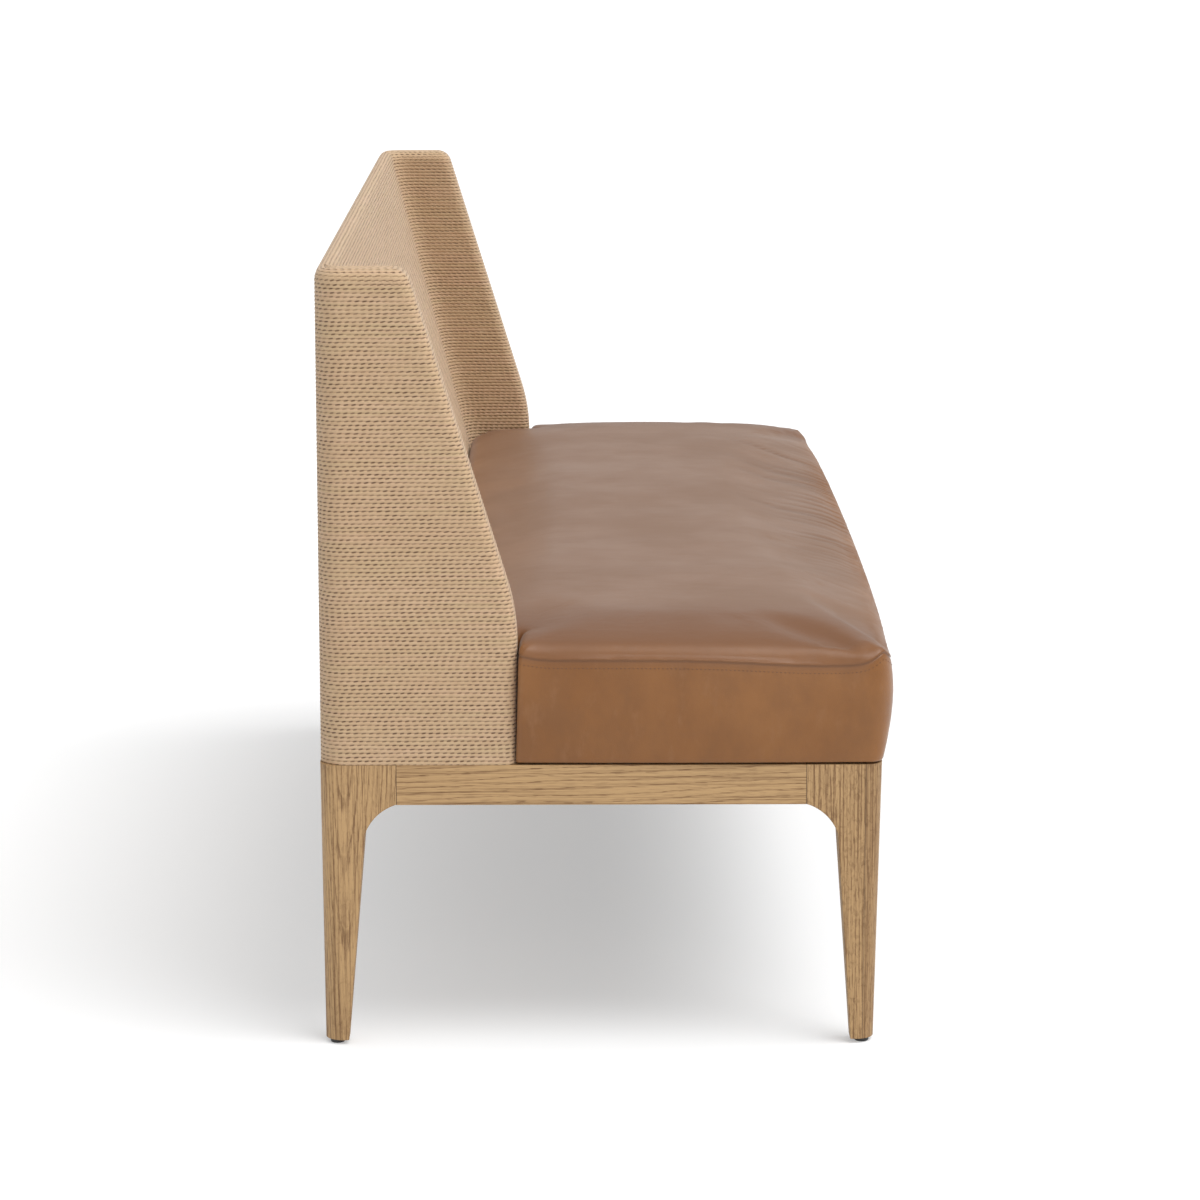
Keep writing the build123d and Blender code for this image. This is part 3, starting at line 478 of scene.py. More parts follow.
def wing_grid():
    """Lines between the left wing's cord rows, from the back's rear face round the wing to its inner face."""
    profiles = {}
    middle_x = -end_x + wing_thickness / 2
    nose = wing_thickness / 2 - edge_radius
    round_start = back_top - edge_radius
    lines = []

    def front_depth(inset, height):
        key = round(inset, 6)
        if key not in profiles:
            profiles[key] = front_profile(inset)
        depth, level = profiles[key][:, 0], profiles[key][:, 1]
        return float(np.interp(height, level, depth))

    def edge_point(turn, side, deepest, height):
        inset = deepest * (1 - math.cos(math.radians(turn)))
        reach = nose + math.sqrt(max(edge_radius ** 2 - (edge_radius - inset) ** 2, 0))
        return middle_x + side * reach, front_depth(inset, height), height

    for number in range(straight_rows + round_rows + 1):
        if number <= straight_rows:
            share = 0.0
            height = frame_top + (round_start - frame_top) * number / straight_rows
            rear_ridge, rear_ridge_height = 0.0, height
            inner_ridge, inner_ridge_height = raked_depth(height), height
        else:
            share = (number - straight_rows) / round_rows
            height = min(round_start + edge_radius * math.sin(share * math.pi / 2), back_top - 1e-6)
            rear_ridge, rear_ridge_height = ridge_point(share, 1)
            inner_ridge, inner_ridge_height = ridge_point(share, -1)
        drawn = edge_radius * (1 - math.cos(share * math.pi / 2))
        deepest = min(edge_radius, back_top - height)
        half = wing_thickness / 2 - drawn

        # rear face and rear corner
        line = [(-wing_inner_x, rear_ridge, rear_ridge_height)]
        radius = rear_radius - drawn
        for turn in np.linspace(0, 90, 9):
            a = math.radians(turn)
            line.append((-end_x + rear_radius - radius * math.sin(a), rear_radius - radius * math.cos(a), height))

        # outer face, front edge and inner face
        front_flat = front_depth(deepest, height)
        for step in np.linspace(0, 1, 9)[1:-1]:
            line.append((middle_x - half, rear_radius + (front_flat - rear_radius) * step, height))
        line += [edge_point(turn, -1, deepest, height) for turn in np.linspace(90, 0, 7)]
        line.append((middle_x, front_depth(0, height), height))
        line += [edge_point(turn, 1, deepest, height) for turn in np.linspace(0, 90, 7)]
        back_depth = inner_ridge + inside_radius
        for step in np.linspace(0, 1, 6)[1:-1]:
            line.append((middle_x + half, front_flat + (back_depth - front_flat) * step, height))

        # inside corner, and on to the back's raked face
        for turn in np.linspace(0, 90, 5):
            a = math.radians(turn)
            rise = height + (inner_ridge_height - height) * turn / 90
            line.append((middle_x + half + inside_radius * (1 - math.cos(a)),
                         back_depth - inside_radius * math.sin(a), rise))
        line.append((-wing_inner_x + 2 * inside_radius, inner_ridge, inner_ridge_height))
        lines.append(line)
    grid = np.array(lines)
    grid[..., 1] = rear_y - grid[..., 1]
    return grid


def cap_grid(grid):
    """Lines between the cord rows that lie along the top of a wing and run out on the back's ridge."""
    line = grid[-1]
    outer_side, inner_side = slice(0, 18), slice(31, 41)

    def resampled(points):
        run = np.concatenate([[0], np.cumsum(np.linalg.norm(np.diff(points, axis=0), axis=1))])
        return np.stack([np.interp(np.linspace(0, run[-1], 30), run, points[:, k]) for k in range(3)], axis=1)

    outer, inner = resampled(line[outer_side]), resampled(line[inner_side][::-1])
    return np.stack([outer + (inner - outer) * share for share in np.linspace(0, 1, 7)])


def ridge_point(share, side):
    """Depth and height on the back's ridge, from the last straight row (0) to the crest (1)."""
    centre_height = back_top - ridge_radius
    low = back_top - edge_radius
    if side > 0:
        straight = centre_height - low
        length = straight + ridge_radius * math.pi / 2
        run = share * length
        if run <= straight:
            return 0.0, low + run
        angle = math.pi - (run - straight) / ridge_radius
    else:
        tangent_height = centre_height + ridge_radius * math.sin(rake)
        straight = (tangent_height - low) / math.cos(rake)
        length = straight + ridge_radius * (math.pi / 2 - rake)
        run = share * length
        if run <= straight:
            height = low + run * math.cos(rake)
            return raked_depth(height), height
        angle = rake + (run - straight) / ridge_radius
    return ridge_radius + ridge_radius * math.cos(angle), centre_height + ridge_radius * math.sin(angle)


def back_grid(side):
    """Lines between the back's cord rows on its rear face (1) or its raked face (-1)."""
    lines = []
    half = wing_inner_x if side > 0 else wing_inner_x - 2 * inside_radius
    places = np.linspace(-half, half, 51)
    for number in range(straight_rows + round_rows + 1):
        if number <= straight_rows:
            height = frame_top + (back_top - edge_radius - frame_top) * number / straight_rows
            depth = 0.0 if side > 0 else raked_depth(height)
        else:
            depth, height = ridge_point((number - straight_rows) / round_rows, side)
        lines.append([(x, rear_y - depth, height) for x in places])
    return np.array(lines)


def mirrored(grid):
    """The same grid at the other end."""
    return grid * np.array((-1, 1, 1))


# Seat cushion


def cushion_outline(front, end, notch, tab, rear, radii, height):
    """One level line round the T-shaped cushion. The first five numbers say how far each side lies in."""
    end_place = end_x + end_overhang - end
    low = front_y - front_overhang + front
    tab_place = tab_y - tab
    side_place = notch_x - notch
    rear_place = rear_y - raked_depth(min(height, seam_height)) - 0.002 - rear
    front_radius, tab_radius, hollow_radius, rear_corner = radii
    half = []

    def arc(centre_x, centre_y, radius, start, stop, count):
        for angle in np.radians(np.linspace(start, stop, count)):
            half.append((centre_x + radius * math.cos(angle), centre_y + radius * math.sin(angle)))

    def run(first, last, bow, count):
        for share in np.linspace(0, 1, count + 2)[1:-1]:
            half.append((first[0] + (last[0] - first[0]) * share + bow * 4 * share * (1 - share),
                         first[1] + (last[1] - first[1]) * share))

    straight = end_place - front_radius
    for share in np.linspace(0, 1, 281)[:-1]:
        half.append((straight * share, low - 0.008 * (1 - share * share)))
    arc(straight, low + front_radius, front_radius, -90, 0, 12)
    run((end_place, low + front_radius), (end_place, tab_place - tab_radius), 0.002, 61)
    arc(end_place - tab_radius, tab_place - tab_radius, tab_radius, 0, 90, 9)
    run((end_place - tab_radius, tab_place), (side_place + hollow_radius, tab_place), 0, 5)
    arc(side_place + hollow_radius, tab_place + hollow_radius, hollow_radius, 270, 180, 9)
    run((side_place, tab_place + hollow_radius), (side_place, rear_place - rear_corner), 0, 15)
    arc(side_place - rear_corner, rear_place - rear_corner, rear_corner, 0, 90, 9)
    run((side_place - rear_corner, rear_place), (0, rear_place), 0, 244)
    half.append((0, rear_place))
    other = [(-x, y) for x, y in reversed(half[1:-1])]
    return [(x, y, height) for x, y in half + other]


def cushion_loops():
    """The cushion's level lines, from its turned-in foot past the seam to the spine of the crown, and their insets."""
    loops = []

    # the underside's edge
    lip = 0.042
    for height in (foot_height + 0.0022, foot_height):
        loops.append(cushion_outline(front_overhang + lip, end_overhang + lip, lip, lip, lip,
                                     (0.016, 0.004, 0.004, 0.034), height))

    # the side: the share of the way up to the seam, how far it is drawn in below the fullest line, and the inset
    for share, drawn, inset in (
        (0, 1.0, 0.0035), (0, 1.0, 0.0012), (0.006, 1.0, 0.0003), (0.02, 0.93, 0), (0.08, 0.77, 0), (0.18, 0.56, 0),
        (0.3, 0.35, 0), (0.42, 0.17, 0), (0.54, 0.05, 0), (0.66, 0.0, 0), (0.76, 0.03, 0), (0.85, 0.09, 0),
        (0.92, 0.15, 0), (0.965, 0.19, 0), (0.982, 0.2, 0.0001), (0.992, 0.2, 0.0005), (1.0, 0.2, 0.0010),
        (1.008, 0.2, 0.0005), (1.018, 0.2, 0.0001),
    ):
        height = foot_height + (seam_height - foot_height) * share
        soft = 0.0006 * math.sin(min(share, 1) * math.pi)
        radii = (0.014 + 0.022 * min(share / 0.6, 1) ** 0.7, 0.004, 0.004, 0.034 + 0.006 * share)
        tab = min(inset, 0.0005) - 0.0048 + 0.0034 * share ** 0.8
        loops.append(cushion_outline(front_overhang * drawn + inset, end_overhang * drawn + inset, inset - soft,
                                     tab, inset, radii, height))
    insets = [0.0] * len(loops)

    # the top: millimetres in from the seam
    widest = 150
    for step in (0.9, 2.2, 4.5, 7, 10, 13, 16.5, 20, 25, 30, 36, 42, 49, 56, 64, 72, 81, 90, 100, 110, 120, 130, 140,
                 widest):
        inset, share = step / 1000, step / widest
        radii = (front_corner_radius + 0.044 * share ** 0.6, 0.004 + 0.02 * share ** 0.5,
                 min(0.004 + 0.5 * inset, 0.028), 0.040 + 0.012 * share)
        near_wing = inset - 0.0014 * max(1 - step / 30, 0)
        loops.append(cushion_outline(0.0024 + inset, 0.0016 + inset, inset, near_wing, inset, radii, seam_height))
        insets.append(step)

    # the middle: on to a straight spine
    last = np.array(loops[-1])
    spine = np.stack([np.clip(last[:, 0], -0.54, 0.54), np.full(len(last), -0.062), last[:, 2]], axis=1)
    for share in (0.12, 0.24, 0.36, 0.48, 0.60, 0.72, 0.84):
        loops.append([tuple(point) for point in last + (spine - last) * share])
        insets.append(float(widest))
    return np.array(loops), np.array(insets)


def seam_lift(points):
    """The seam's line: it sags a little along each side, and curves up at the front corners and beside the wings."""
    end_line, front_line = 0.808, -0.312
    x, y, height = np.abs(points[..., 0]), points[..., 1], points[..., 2] - seam_height
    run = np.maximum(end_line - x, y - front_line)
    sag = 0.0065 * np.exp(-((run - 0.077) / 0.10) ** 2)
    rise = 0.022 * np.clip((0.050 - run) / 0.048, 0, 1) ** 2.4
    rise += 0.005 * np.clip((y - 0.0595) / 0.040, 0, 1) ** 2 * np.clip((x - 0.745) / 0.02, 0, 1)
    points[..., 2] += rise * np.exp(-(height / np.where(height > 0, 0.060, 0.034)) ** 2)
    points[..., 2] -= sag * np.exp(-(height / np.where(height > 0, 0.020, 0.034)) ** 2)
    return points


def crown_rise(x, y, inset):
    """Rise of the top above the seam: it rolls up from every edge, and lower where two edges meet."""
    steps = (0, 0.9, 2.2, 4.5, 8, 13, 20, 30, 43, 60, 80, 105, 130, 150)
    rises = (1.5, 4.2, 7.2, 10.6, 14.4, 18.2, 21.6, 24.9, 27.6, 29.8, 31.6, 32.9, 33.7, 34.2)
    side = np.abs(x)
    below_notch = np.maximum(0.1009 - y, 0)
    notch = np.where(side > notch_x, below_notch, np.hypot(np.maximum(notch_x - side, 0), below_notch))

    # millimetres from the front, the end, the wing and the back
    apart = np.array([
        y - (front_y - 0.0096 - 0.008 * (1 - (x / 0.77) ** 2)),
        end_x + 0.0064 - side,
        notch * 2.6,
        (rear_y - 0.020 - (back_top - seam_height) * rake_slope) - y,
    ]) * 1000
    apart = np.maximum(apart, 0.6)
    together = (apart ** -1.25).sum(axis=0) ** (-1 / 1.25)
    others = np.minimum(np.minimum(apart[0], apart[1]), apart[3])
    by_wing = np.clip((others - notch * 1000) / 10, 0, 1)
    allowed = np.where(inset >= 150, 1000.0, inset * (1 + 1.6 * by_wing))
    return np.interp(np.minimum(allowed, together), steps, rises) / 1000


def wrinkle_depth(x, inward, random):
    """How deep the wrinkles are that run in from the front seam."""
    depth = np.zeros_like(x)
    for place in np.arange(-0.70, 0.74, 0.017):
        place = place + random.uniform(-0.007, 0.007)
        strength = 0.07 + 0.93 * math.exp(-((place - 0.16) / 0.36) ** 2)
        size = random.uniform(0.35, 1.0) ** 1.5 * strength * 0.0034
        reach = random.uniform(0.035, 0.115)
        width = random.uniform(0.0028, 0.0056)
        lean = random.uniform(0.15, 0.75)
        curl = random.uniform(0.5, 3.2)
        centre = place + lean * inward + curl * inward ** 2
        spread = width * (1 + inward / 0.06)
        shape = np.exp(-((x - centre) / spread) ** 2)
        fade = np.clip(inward / 0.010, 0, 1) * np.exp(-(inward / reach) ** 2)
        depth += size * shape * fade
    return depth


def seat_cushion(material):
    """The leather cushion: drawn-in sides below the seam, and edges that roll up to a low crown."""
    loops, insets = cushion_loops()
    levels, count = loops.shape[:2]
    on_top = insets > 0
    loops[on_top, :, 2] += crown_rise(loops[on_top, :, 0], loops[on_top, :, 1], insets[on_top][:, None])

    # creases that run in from the front seam, and slow waves over the top
    random = np.random.RandomState(11)
    inward = loops[..., 1] - (front_y - 0.0196)
    dent = wrinkle_depth(loops[..., 0], np.maximum(inward, 0), random) * (loops[..., 2] > seam_height + 0.0005)
    x, y = loops[..., 0], loops[..., 1]
    waves = 0.0006 * np.sin(x / 0.115 + 0.8) * np.sin(y / 0.09 + 1.1)
    waves = waves + 0.0004 * np.sin(x / 0.053 + 2.0 + y / 0.2) * np.sin(y / 0.14)
    waves = waves + 0.0003 * np.sin(x / 0.031 + y / 0.07)
    calm = np.clip((loops[..., 2] - 0.452) / 0.02, 0, 1)
    loops[..., 2] += waves * calm - dent

    # small puckers along the seam
    seam_level = 20
    seam_steps = np.linalg.norm(np.diff(loops[seam_level, :, :2], axis=0), axis=1)
    round_run = np.concatenate([[0], np.cumsum(seam_steps)])
    slow = 1.7 * np.sin(round_run * 2 * math.pi / 0.37)
    pull = np.zeros(count)
    for length, size in ((0.031, 0.45), (0.0173, 0.35), (0.0091, 0.2)):
        pull += size * np.sin(round_run * 2 * math.pi / length + random.uniform(0, 6.28) + slow)
    near_seam = np.exp(-((loops[..., 2] - seam_height) / 0.0065) ** 2)
    loops[..., 2] += 0.0005 * pull * near_seam
    inwards = np.array((0.0, -0.08)) - loops[..., :2]
    inwards[..., 0] = np.clip(inwards[..., 0], -0.05, 0.05)
    inwards /= np.maximum(np.linalg.norm(inwards, axis=-1, keepdims=True), 1e-9)
    loops[..., :2] += inwards * (0.00045 * (1 + pull) * near_seam)[..., None]

    # faces between the lines, one across the underside, and those that close the middle of the top
    faces = []
    for level in range(levels - 1):
        low, high = level * count, (level + 1) * count
        faces += [(low + j, low + (j + 1) % count, high + (j + 1) % count, high + j) for j in range(count)]
    faces.append(tuple(reversed(range(count))))
    top, half = (levels - 1) * count, count // 2
    for j in range(half // 2):
        faces.append((top + j, top + j + 1, top + half - j - 1, top + half - j))
        faces.append((top + half + j, top + half + j + 1, top + count - j - 1, top + (count - j) % count))
    faces = [tuple(dict.fromkeys(face)) for face in faces]
    faces = [face for face in faces if len(face) > 2]
    mesh = bpy.data.meshes.new("seat_cushion")
    mesh.from_pydata(loops.reshape(-1, 3).tolist(), [], faces)
    mesh.polygons.foreach_set("use_smooth", [True] * len(mesh.polygons))

    # what the leather's painted sheen and painted shade read: the height above the seam, and the creases
    for name, values in (("seam", loops[..., 2] + dent - seam_height), ("crease", np.clip(dent / 0.0018, 0, 1))):
        layer = mesh.attributes.new(name, "FLOAT", "POINT")
        layer.data.foreach_set("value", values.reshape(-1).astype(np.float32))
    return new_object("seat_cushion", mesh, material)


def swell(made, farthest=0.006):
    """Cloth with pressure inside on a coarse copy of the cushion; its moves, held to a limit, go onto the fine mesh."""
    copy = bpy.data.objects.new("cushion_copy", made.data.copy())
    bpy.context.scene.collection.objects.link(copy)
    bpy.ops.object.select_all(action="DESELECT")
    bpy.context.view_layer.objects.active = copy
    copy.select_set(True)
    voxels = copy.modifiers.new("voxels", "REMESH")
    voxels.mode = "VOXEL"
    voxels.voxel_size = 0.0085
    bpy.ops.object.modifier_apply(modifier=voxels.name)

    # held: the seam, the foot, and what lies against the wings and the back
    rest = vertex_places(copy.data)
    x, y, z = np.abs(rest[:, 0]), rest[:, 1], rest[:, 2]
    rear_line = rear_y - 0.020 - (back_top - np.minimum(z, seam_height)) * rake_slope
    held = (np.abs(z - seam_height) < 0.006) | (z < 0.336) | ((y > 0.085) & (x > 0.738)) | (y > rear_line - 0.008)
    group = copy.vertex_groups.new(name="held")
    group.add(np.nonzero(held)[0].tolist(), 1.0, "REPLACE")
    cloth = copy.modifiers.new("cloth", "CLOTH")
    settings = cloth.settings
    settings.use_pressure = True
    settings.uniform_pressure_force = 1.3
    settings.vertex_group_mass = "held"
    settings.effector_weights.gravity = 0
    settings.quality = 4
    settings.tension_stiffness = settings.compression_stiffness = 25
    settings.shear_stiffness = 10
    settings.bending_stiffness = 6
    last_step = 20
    cloth.point_cache.frame_start, cloth.point_cache.frame_end = 1, last_step
    for number in range(1, last_step + 1):
        bpy.context.scene.frame_set(number)
    bpy.ops.object.modifier_apply(modifier=cloth.name)
    bpy.context.scene.frame_set(1)

    # each fine vertex takes the moves of the five nearest coarse ones
    move = vertex_places(copy.data) - rest
    length = np.linalg.norm(move, axis=1, keepdims=True)
    move *= np.minimum(1, farthest / np.maximum(length, 1e-9))
    tree = KDTree(len(rest))
    for index, point in enumerate(rest):
        tree.insert(point, index)
    tree.balance()
    fine = vertex_places(made.data)
    for index, point in enumerate(fine):
        near = tree.find_n(point, 5)
        weight = np.array([1 / (found[2] + 0.002) for found in near])
        share = (move[[found[1] for found in near]] * weight[:, None]).sum(axis=0) / weight.sum()
        fine[index] = point + share
    made.data.vertices.foreach_set("co", fine.reshape(-1))
    bpy.data.objects.remove(copy)


def curve_seam(made):
    """Bring the seam and the leather beside it to the seam's curved line."""
    made.data.vertices.foreach_set("co", seam_lift(vertex_places(made.data)).reshape(-1))
    made.data.update()


def topstitch(material):
    """The line of stitches just below the seam, along the front and both ends."""
    drawn, height = 0.17, 0.4302
    pitch, filled, thread = 0.0046, 0.56, 0.00038
    radii = (front_corner_radius, 0.004, 0.004, 0.040)
    line = np.array(cushion_outline(front_overhang * drawn, end_overhang * drawn, 0, -0.0015, 0, radii, height))
    steps = np.linalg.norm(np.diff(line, axis=0, append=line[:1]), axis=1)
    run = np.concatenate([[0], np.cumsum(steps)])
    closed = np.concatenate([line, line[:1]])
    sides = 6
    section = [(math.cos(a), math.sin(a)) for a in np.linspace(0, 2 * math.pi, sides + 1)[:-1]]
    rings = ((0, 0.3, -0.00015), (0.15, 0.85, 0.0001), (0.5, 1, 0.0002), (0.85, 0.85, 0.0001), (1, 0.3, -0.00015))
    up = np.array((0, 0, 1.0))
    vertices, faces = [], []
    for place in np.arange(0, run[-1] - pitch, pitch):
        start, stop = (np.array([np.interp(at, run, closed[:, k]) for k in range(3)])
                       for at in (place, place + pitch * filled))
        if start[1] > 0.105:
            continue
        along = (stop - start) / np.linalg.norm(stop - start)
        out = np.array((along[1], -along[0], 0))
        first = len(vertices)
        for share, size, lift in rings:
            centre = start + (stop - start) * share + out * lift
            for c, s in section:
                vertices.append(tuple(centre + (out * c + up * s) * thread * size))
        for level in range(len(rings) - 1):
            for j in range(sides):
                a, b = (first + level * sides + k for k in (j, (j + 1) % sides))
                faces.append((a, a + sides, b + sides, b))
        faces.append(tuple(first + j for j in range(sides)))
        faces.append(tuple(first + (len(rings) - 1) * sides + j for j in reversed(range(sides))))
    mesh = bpy.data.meshes.new("seat_topstitch")
    mesh.from_pydata(seam_lift(np.array(vertices)).tolist(), [], faces)
    mesh.polygons.foreach_set("use_smooth", [True] * len(mesh.polygons))
    return new_object("seat_topstitch", mesh, material)


def leather_finish():
    """Warm brown leather with a fine grain, soft clouds of tone, rubbed paler patches and a soft sheen; the top is
    painted greyer as painted sheen, and painted shade darkens its ends, the roll by the seam, the seam and the creases.
    """
    made, tree, shader = new_material("saddle_leather", 0.40)
    place = object_place(tree)

    def attribute(name):
        return add_node(tree, "ShaderNodeAttribute", attribute_type="GEOMETRY", attribute_name=name).outputs["Fac"]

    clouds = smooth_range(tree, noise(tree, place, 7.0, 3.0), 0.3, 0.7)
    blotches = stretched_noise(tree, place, (17, 24, 15), 6.0, 0.62, location=(4, 1, 2))
    blotches = times(tree, smooth_range(tree, blotches, 0.36, 0.70), 0.46)
    rubs = stretched_noise(tree, place, (30, 42, 22), 5.0, 0.62, location=(9, 3, 6))
    rubs = times(tree, smooth_range(tree, rubs, 0.52, 0.78), 0.40)
    colour = mix_colour(tree, clouds, (0.273, 0.106, 0.020), (0.220, 0.079, 0.011))
    colour = mix_colour(tree, blotches, colour, (0.174, 0.065, 0.013))
    colour = mix_colour(tree, rubs, colour, (0.300, 0.136, 0.050))

    # the top painted greyer as painted sheen; painted shade on its ends and on the roll between seam and top, and in
    # the seam itself and the creases
    above = attribute("seam")
    # painted sheen: the top above the roll painted greyer, as the bright surround's reflection
    top_painted_sheen = mix_colour(tree, clouds, (0.226, 0.108, 0.050), (0.200, 0.094, 0.041))
    colour = mix_colour(tree, smooth_range(tree, above, 0.009, 0.029), colour, top_painted_sheen)
    # painted shade: the top near both ends painted darker, as the roll there turns from the light
    ends = smooth_range(tree, absolute(tree, split(tree, place)[0]), 0.635, 0.735)
    high = smooth_range(tree, above, 0.007, 0.020)
    colour = mix_colour(tree, times(tree, times(tree, ends, high), 0.85), colour, (0.164, 0.063, 0.018))
    # painted shade: the band about the seam near both ends painted darker, over the roll's highlight
    low = smooth_range(tree, above, -0.010, 0.002)
    rolled = times(tree, times(tree, low, minus(tree, 1.0, high)), ends)
    colour = mix_colour(tree, times(tree, rolled, 0.66), colour, (0.174, 0.066, 0.018))
    # painted shade in the seam's groove
    in_seam = smooth_range(tree, absolute(tree, above), 0.0004, 0.0022, 0.24, 0.0)
    colour = mix_colour(tree, in_seam, colour, (0.085, 0.036, 0.016))
    # painted shade in the creases
    colour = mix_colour(tree, times(tree, attribute("crease"), 0.34), colour, (0.105, 0.042, 0.015))
    join(tree, colour, shader.inputs["Base Color"])

    # relief and sheen
    pebble = add_node(tree, "ShaderNodeTexVoronoi", feature="DISTANCE_TO_EDGE")
    join(tree, place, pebble.inputs["Vector"])
    pebble.inputs["Scale"].default_value = 620.0
    pebbles = smooth_range(tree, pebble.outputs["Distance"], 0.0, 0.25)
    soft_folds = stretched_noise(tree, place, (60, 24, 40), 3.0, 0.5, 0.8, (2, 8, 1))
    relief = plus(tree, times(tree, pebbles, 0.12), soft_folds)
    join(tree, bump(tree, relief, 0.30, 0.0012), shader.inputs["Normal"])
    join(tree, plus(tree, times(tree, clouds, 0.10), 0.36), shader.inputs["Roughness"])
    shader.inputs["Sheen Weight"].default_value = 0.13
    shader.inputs["Sheen Roughness"].default_value = 0.45
    return made


def fine_finish(name, first, second, roughness, scale, metallic=0.0, strength=0.2, distance=0.0002):
    """A plain stuff with a fine mottle of two tones and a slight relief; the scale stretches it along one axis."""
    made, tree, shader = new_material(name, roughness)
    mottle = stretched_noise(tree, object_place(tree), scale, 4.0, 0.6)
    join(tree, mix_colour(tree, smooth_range(tree, mottle, 0.35, 0.65), first, second), shader.inputs["Base Color"])
    join(tree, bump(tree, mottle, strength, distance), shader.inputs["Normal"])
    join(tree, plus(tree, times(tree, mottle, 0.12), roughness - 0.06), shader.inputs["Roughness"])
    shader.inputs["Metallic"].default_value = metallic
    return made


# Put the pieces together

oak_group = oak_grain_group()
quarter = math.pi / 2
upright, lengthwise, crosswise = (0, quarter, 0), (0, 0, 0), (0, 0, quarter)
end_joint, long_joint = (1, -0.216, 0.236), (0, -0.716, 0.716)
oak_pieces = {
    "leg_rear_left": (upright, (0.30, 0.292, 0.822), 0.0038, 0.012, -0.036, 0.20),
    "leg_rear_right": (upright, (0.30, 0.30, -0.83), 0.0045, 0.012, 0.034),
    "leg_front_left": (upright, (0.20, -0.20, 0.86), 0.0030, 0.008, 0.02, 0.34, None, -0.281),
    "leg_front_right": (upright, (0.15, -0.33, -0.84), 0.0040, 0.010, -0.034),
    "apron_left": (crosswise, (0, 0.1, 1.10), 0.0052, 0.022, 0.035, 0.0, end_joint),
    "apron_right": (crosswise, (0, 0.2, -0.90), 0.0048, 0.022, 0.03, 0.0, end_joint),
    "apron_front": (lengthwise, (0, -0.1, 0.95), 0.0052, 0.030, 0.012, 0.0, long_joint),
    "apron_rear": (lengthwise, (0, 0.2, -0.80), 0.0050, 0.030, 0.015, 0.0, long_joint),
}


def dress(node, material):
    """Gives a CAD node its material."""
    node.data.materials.clear()
    node.data.materials.append(material)


for name, values in oak_pieces.items():
    dress(nodes[name], oak_finish(name + "_oak", oak_group, *values))

# Each finish, and the starts of the names that wear it; a later one takes over from an earlier one
finishes = (
    (fine_finish("sawn_hardwood", (0.56, 0.42, 0.27), (0.47, 0.34, 0.21), 0.7, (9, 160, 160),
                 strength=0.3, distance=0.0004),
     ("corner_block_", "cross_rail_", "back_top_rail", "back_bottom_rail", "corner_post_", "wing_stile_",
      "wing_top_rail_", "wing_bottom_rail_")),
    (fine_finish("birch_plywood", (0.60, 0.46, 0.30), (0.52, 0.38, 0.24), 0.65, (14, 60, 900),
                 strength=0.25, distance=0.0003),
     ("seat_board", "back_rear_panel", "back_inner_panel", "back_rib_", "wing_outer_panel_", "wing_inner_panel_")),
    (fine_finish("zinc_plated_steel", (0.62, 0.62, 0.60), (0.50, 0.50, 0.49), 0.38, (300, 300, 300), metallic=1.0),
     ("hanger_", "corner_block_screws", "seat_screws", "back_bolts", "back_bolt_sleeves")),
    (fine_finish("black_nylon", (0.020, 0.020, 0.020), (0.035, 0.035, 0.034), 0.5, (500, 500, 500)), ("glides",)),
    (fine_finish("black_dust_cloth", (0.018, 0.018, 0.018), (0.045, 0.045, 0.045), 0.95, (700, 700, 700),
                 strength=0.6),
     ("seat_dust_cover",)),
)
for finish, starts in finishes:
    for name, node in nodes.items():
        if name.startswith(starts):
            dress(node, finish)

cord_material = cord_finish()
left_grid = wing_grid()
left = cord_rows("wing_cord_left", left_grid, cord_material, 1.0, 3)
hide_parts("wing_outer_cord_left", "wing_inner_cord_left", "wing_edge_cord_left")
right = cord_rows("wing_cord_right", mirrored(left_grid), cord_material, -1.0, 4)
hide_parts("wing_outer_cord_right", "wing_inner_cord_right", "wing_edge_cord_right")
rear = cord_rows("back_cord_rear", back_grid(1), cord_material, -1.0, 5)
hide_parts("back_cord")
inner = cord_rows("back_cord_inner", back_grid(-1), cord_material, 1.0, 6)
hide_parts("back_cord")
cap = cap_grid(left_grid)
cap_left = cord_rows("wing_cap_left", cap, cord_material, 1.0, 7, (0, 0, 1))
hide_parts("wing_edge_cord_left")
cap_right = cord_rows("wing_cap_right", mirrored(cap), cord_material, -1.0, 8, (0, 0, 1))
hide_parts("wing_edge_cord_right")
for piece in (left, right, rear, inner, cap_left, cap_right):
    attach(piece, "root")

leather = leather_finish()
cushion = seat_cushion(leather)
swell(cushion)
curve_seam(cushion)
thread_finish = fine_finish("topstitch_thread", (0.14, 0.060, 0.026), (0.19, 0.085, 0.038), 0.7, (2500, 2500, 2500))
stitches = topstitch(thread_finish)
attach(stitches, "root")
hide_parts("seat_cover_top", "seat_cover_boxing", "seat_foam")
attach(cushion, "root")


# Floor, light and camera


def add_holder(name, data, aim, location=(0, 0, 0)):
    """An object for a lamp or a camera that looks along the aim."""
    holder = bpy.data.objects.new(name, data)
    holder.location = location
    holder.rotation_mode = "QUATERNION"
    holder.rotation_quaternion = Vector(aim).to_track_quat("-Z", "Y")
    bpy.context.scene.collection.objects.link(holder)
    return holder


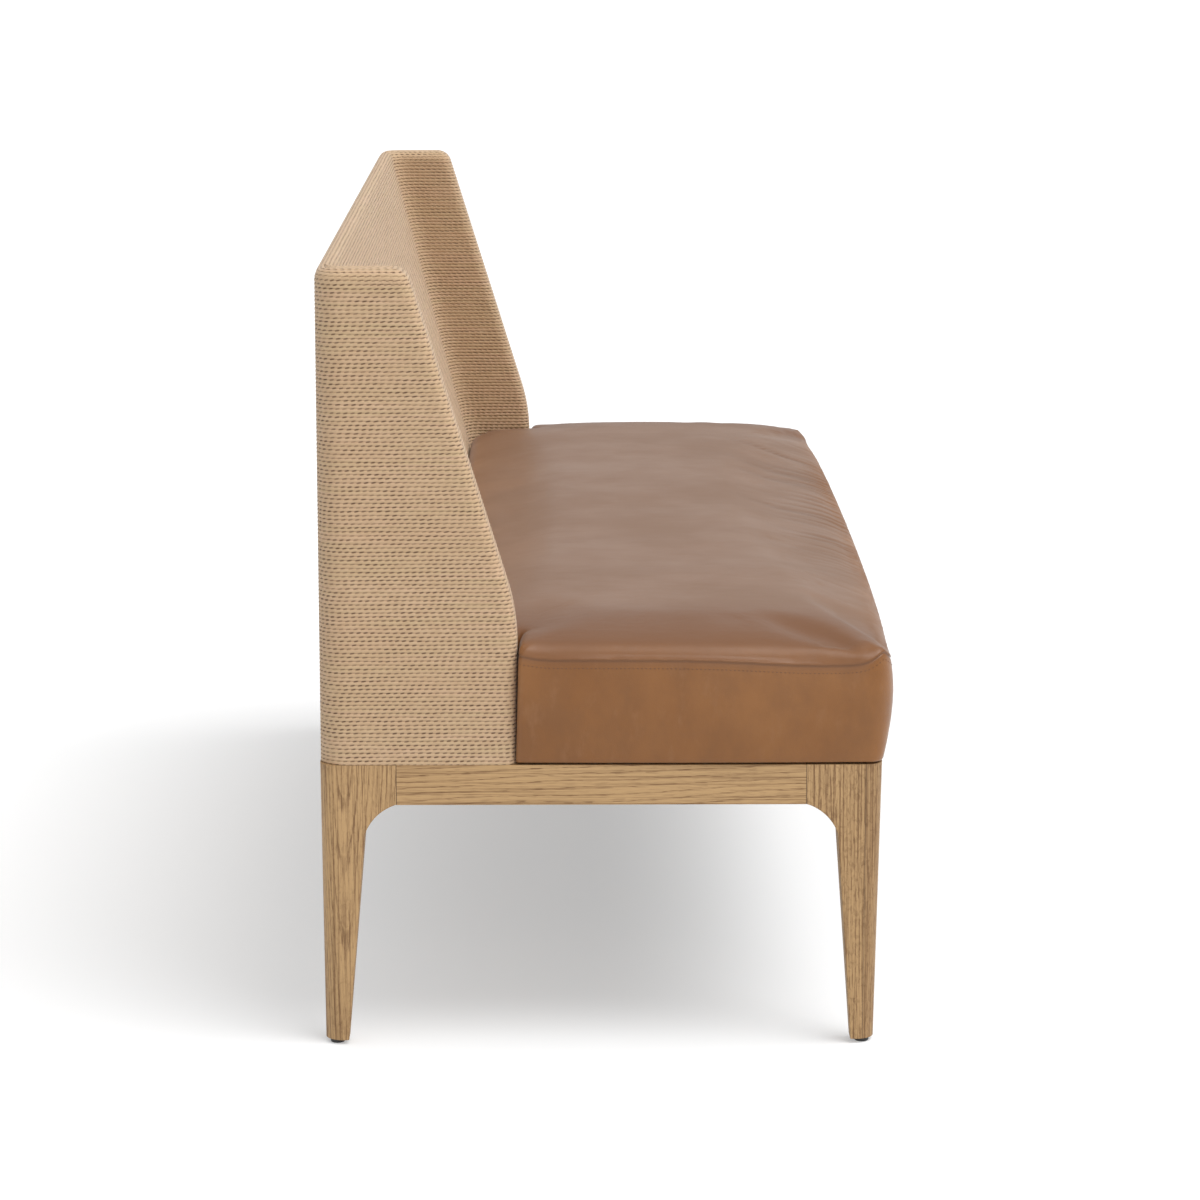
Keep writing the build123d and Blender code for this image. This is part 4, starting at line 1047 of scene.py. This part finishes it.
def studio():
    """A white floor that keeps the bench's shadow, a broad soft key from above and in front, and a white surround."""
    bpy.ops.mesh.primitive_plane_add(size=80)
    floor = bpy.context.object
    floor.name = "floor"
    made, tree, shader = new_material("floor_white", 0.9)
    shader.inputs["Specular IOR Level"].default_value = 0.0
    paths = add_node(tree, "ShaderNodeLightPath")
    shown = math_node(tree, "MAXIMUM", paths.outputs["Is Camera Ray"], paths.outputs["Is Glossy Ray"])
    shader.inputs["Base Color"].default_value = (0.70, 0.70, 0.70, 1)
    shader.inputs["Emission Color"].default_value = (0.98, 1.0, 1.02, 1)
    join(tree, times(tree, shown, 0.335), shader.inputs["Emission Strength"])
    floor.data.materials.append(made)
    world = bpy.data.worlds.new("studio")
    bpy.context.scene.world = world
    world.use_nodes = True
    tree = world.node_tree
    background = tree.nodes["Background"]
    paths = add_node(tree, "ShaderNodeLightPath")
    seen = math_node(tree, "MAXIMUM", paths.outputs["Is Camera Ray"], paths.outputs["Is Transmission Ray"])
    join(tree, plus(tree, times(tree, seen, 0.38), 0.62), background.inputs["Strength"])
    background.inputs["Color"].default_value = (1, 1, 1, 1)
    lamp = bpy.data.lights.new("key", "SUN")
    lamp.energy = 2.15
    lamp.angle = math.radians(46)
    add_holder("key", lamp, (0.18, 0.46, -0.95))
    lamp = bpy.data.lights.new("near_end", "AREA")
    lamp.energy = 8.0
    lamp.size = 1.4
    holder = add_holder("near_end", lamp, (2.2, 0.5, -0.5), (-3.0, -0.5, 1.1))
    holder.visible_camera = False


def camera():
    """The photograph's view, from the left end and a little above."""
    lens = bpy.data.cameras.new("camera")
    lens.sensor_width = 36
    lens.lens = 118.14
    lens.clip_end = 200
    yaw, pitch = math.radians(-0.526), math.radians(11.122)
    ahead = (math.cos(pitch) * math.cos(yaw), math.cos(pitch) * math.sin(yaw), -math.sin(pitch))
    bpy.context.scene.camera = add_holder("camera", lens, ahead, (-5.0093, 0.0503, 1.3323))


studio()
camera()
bpy.context.scene.view_settings.view_transform = "Standard"
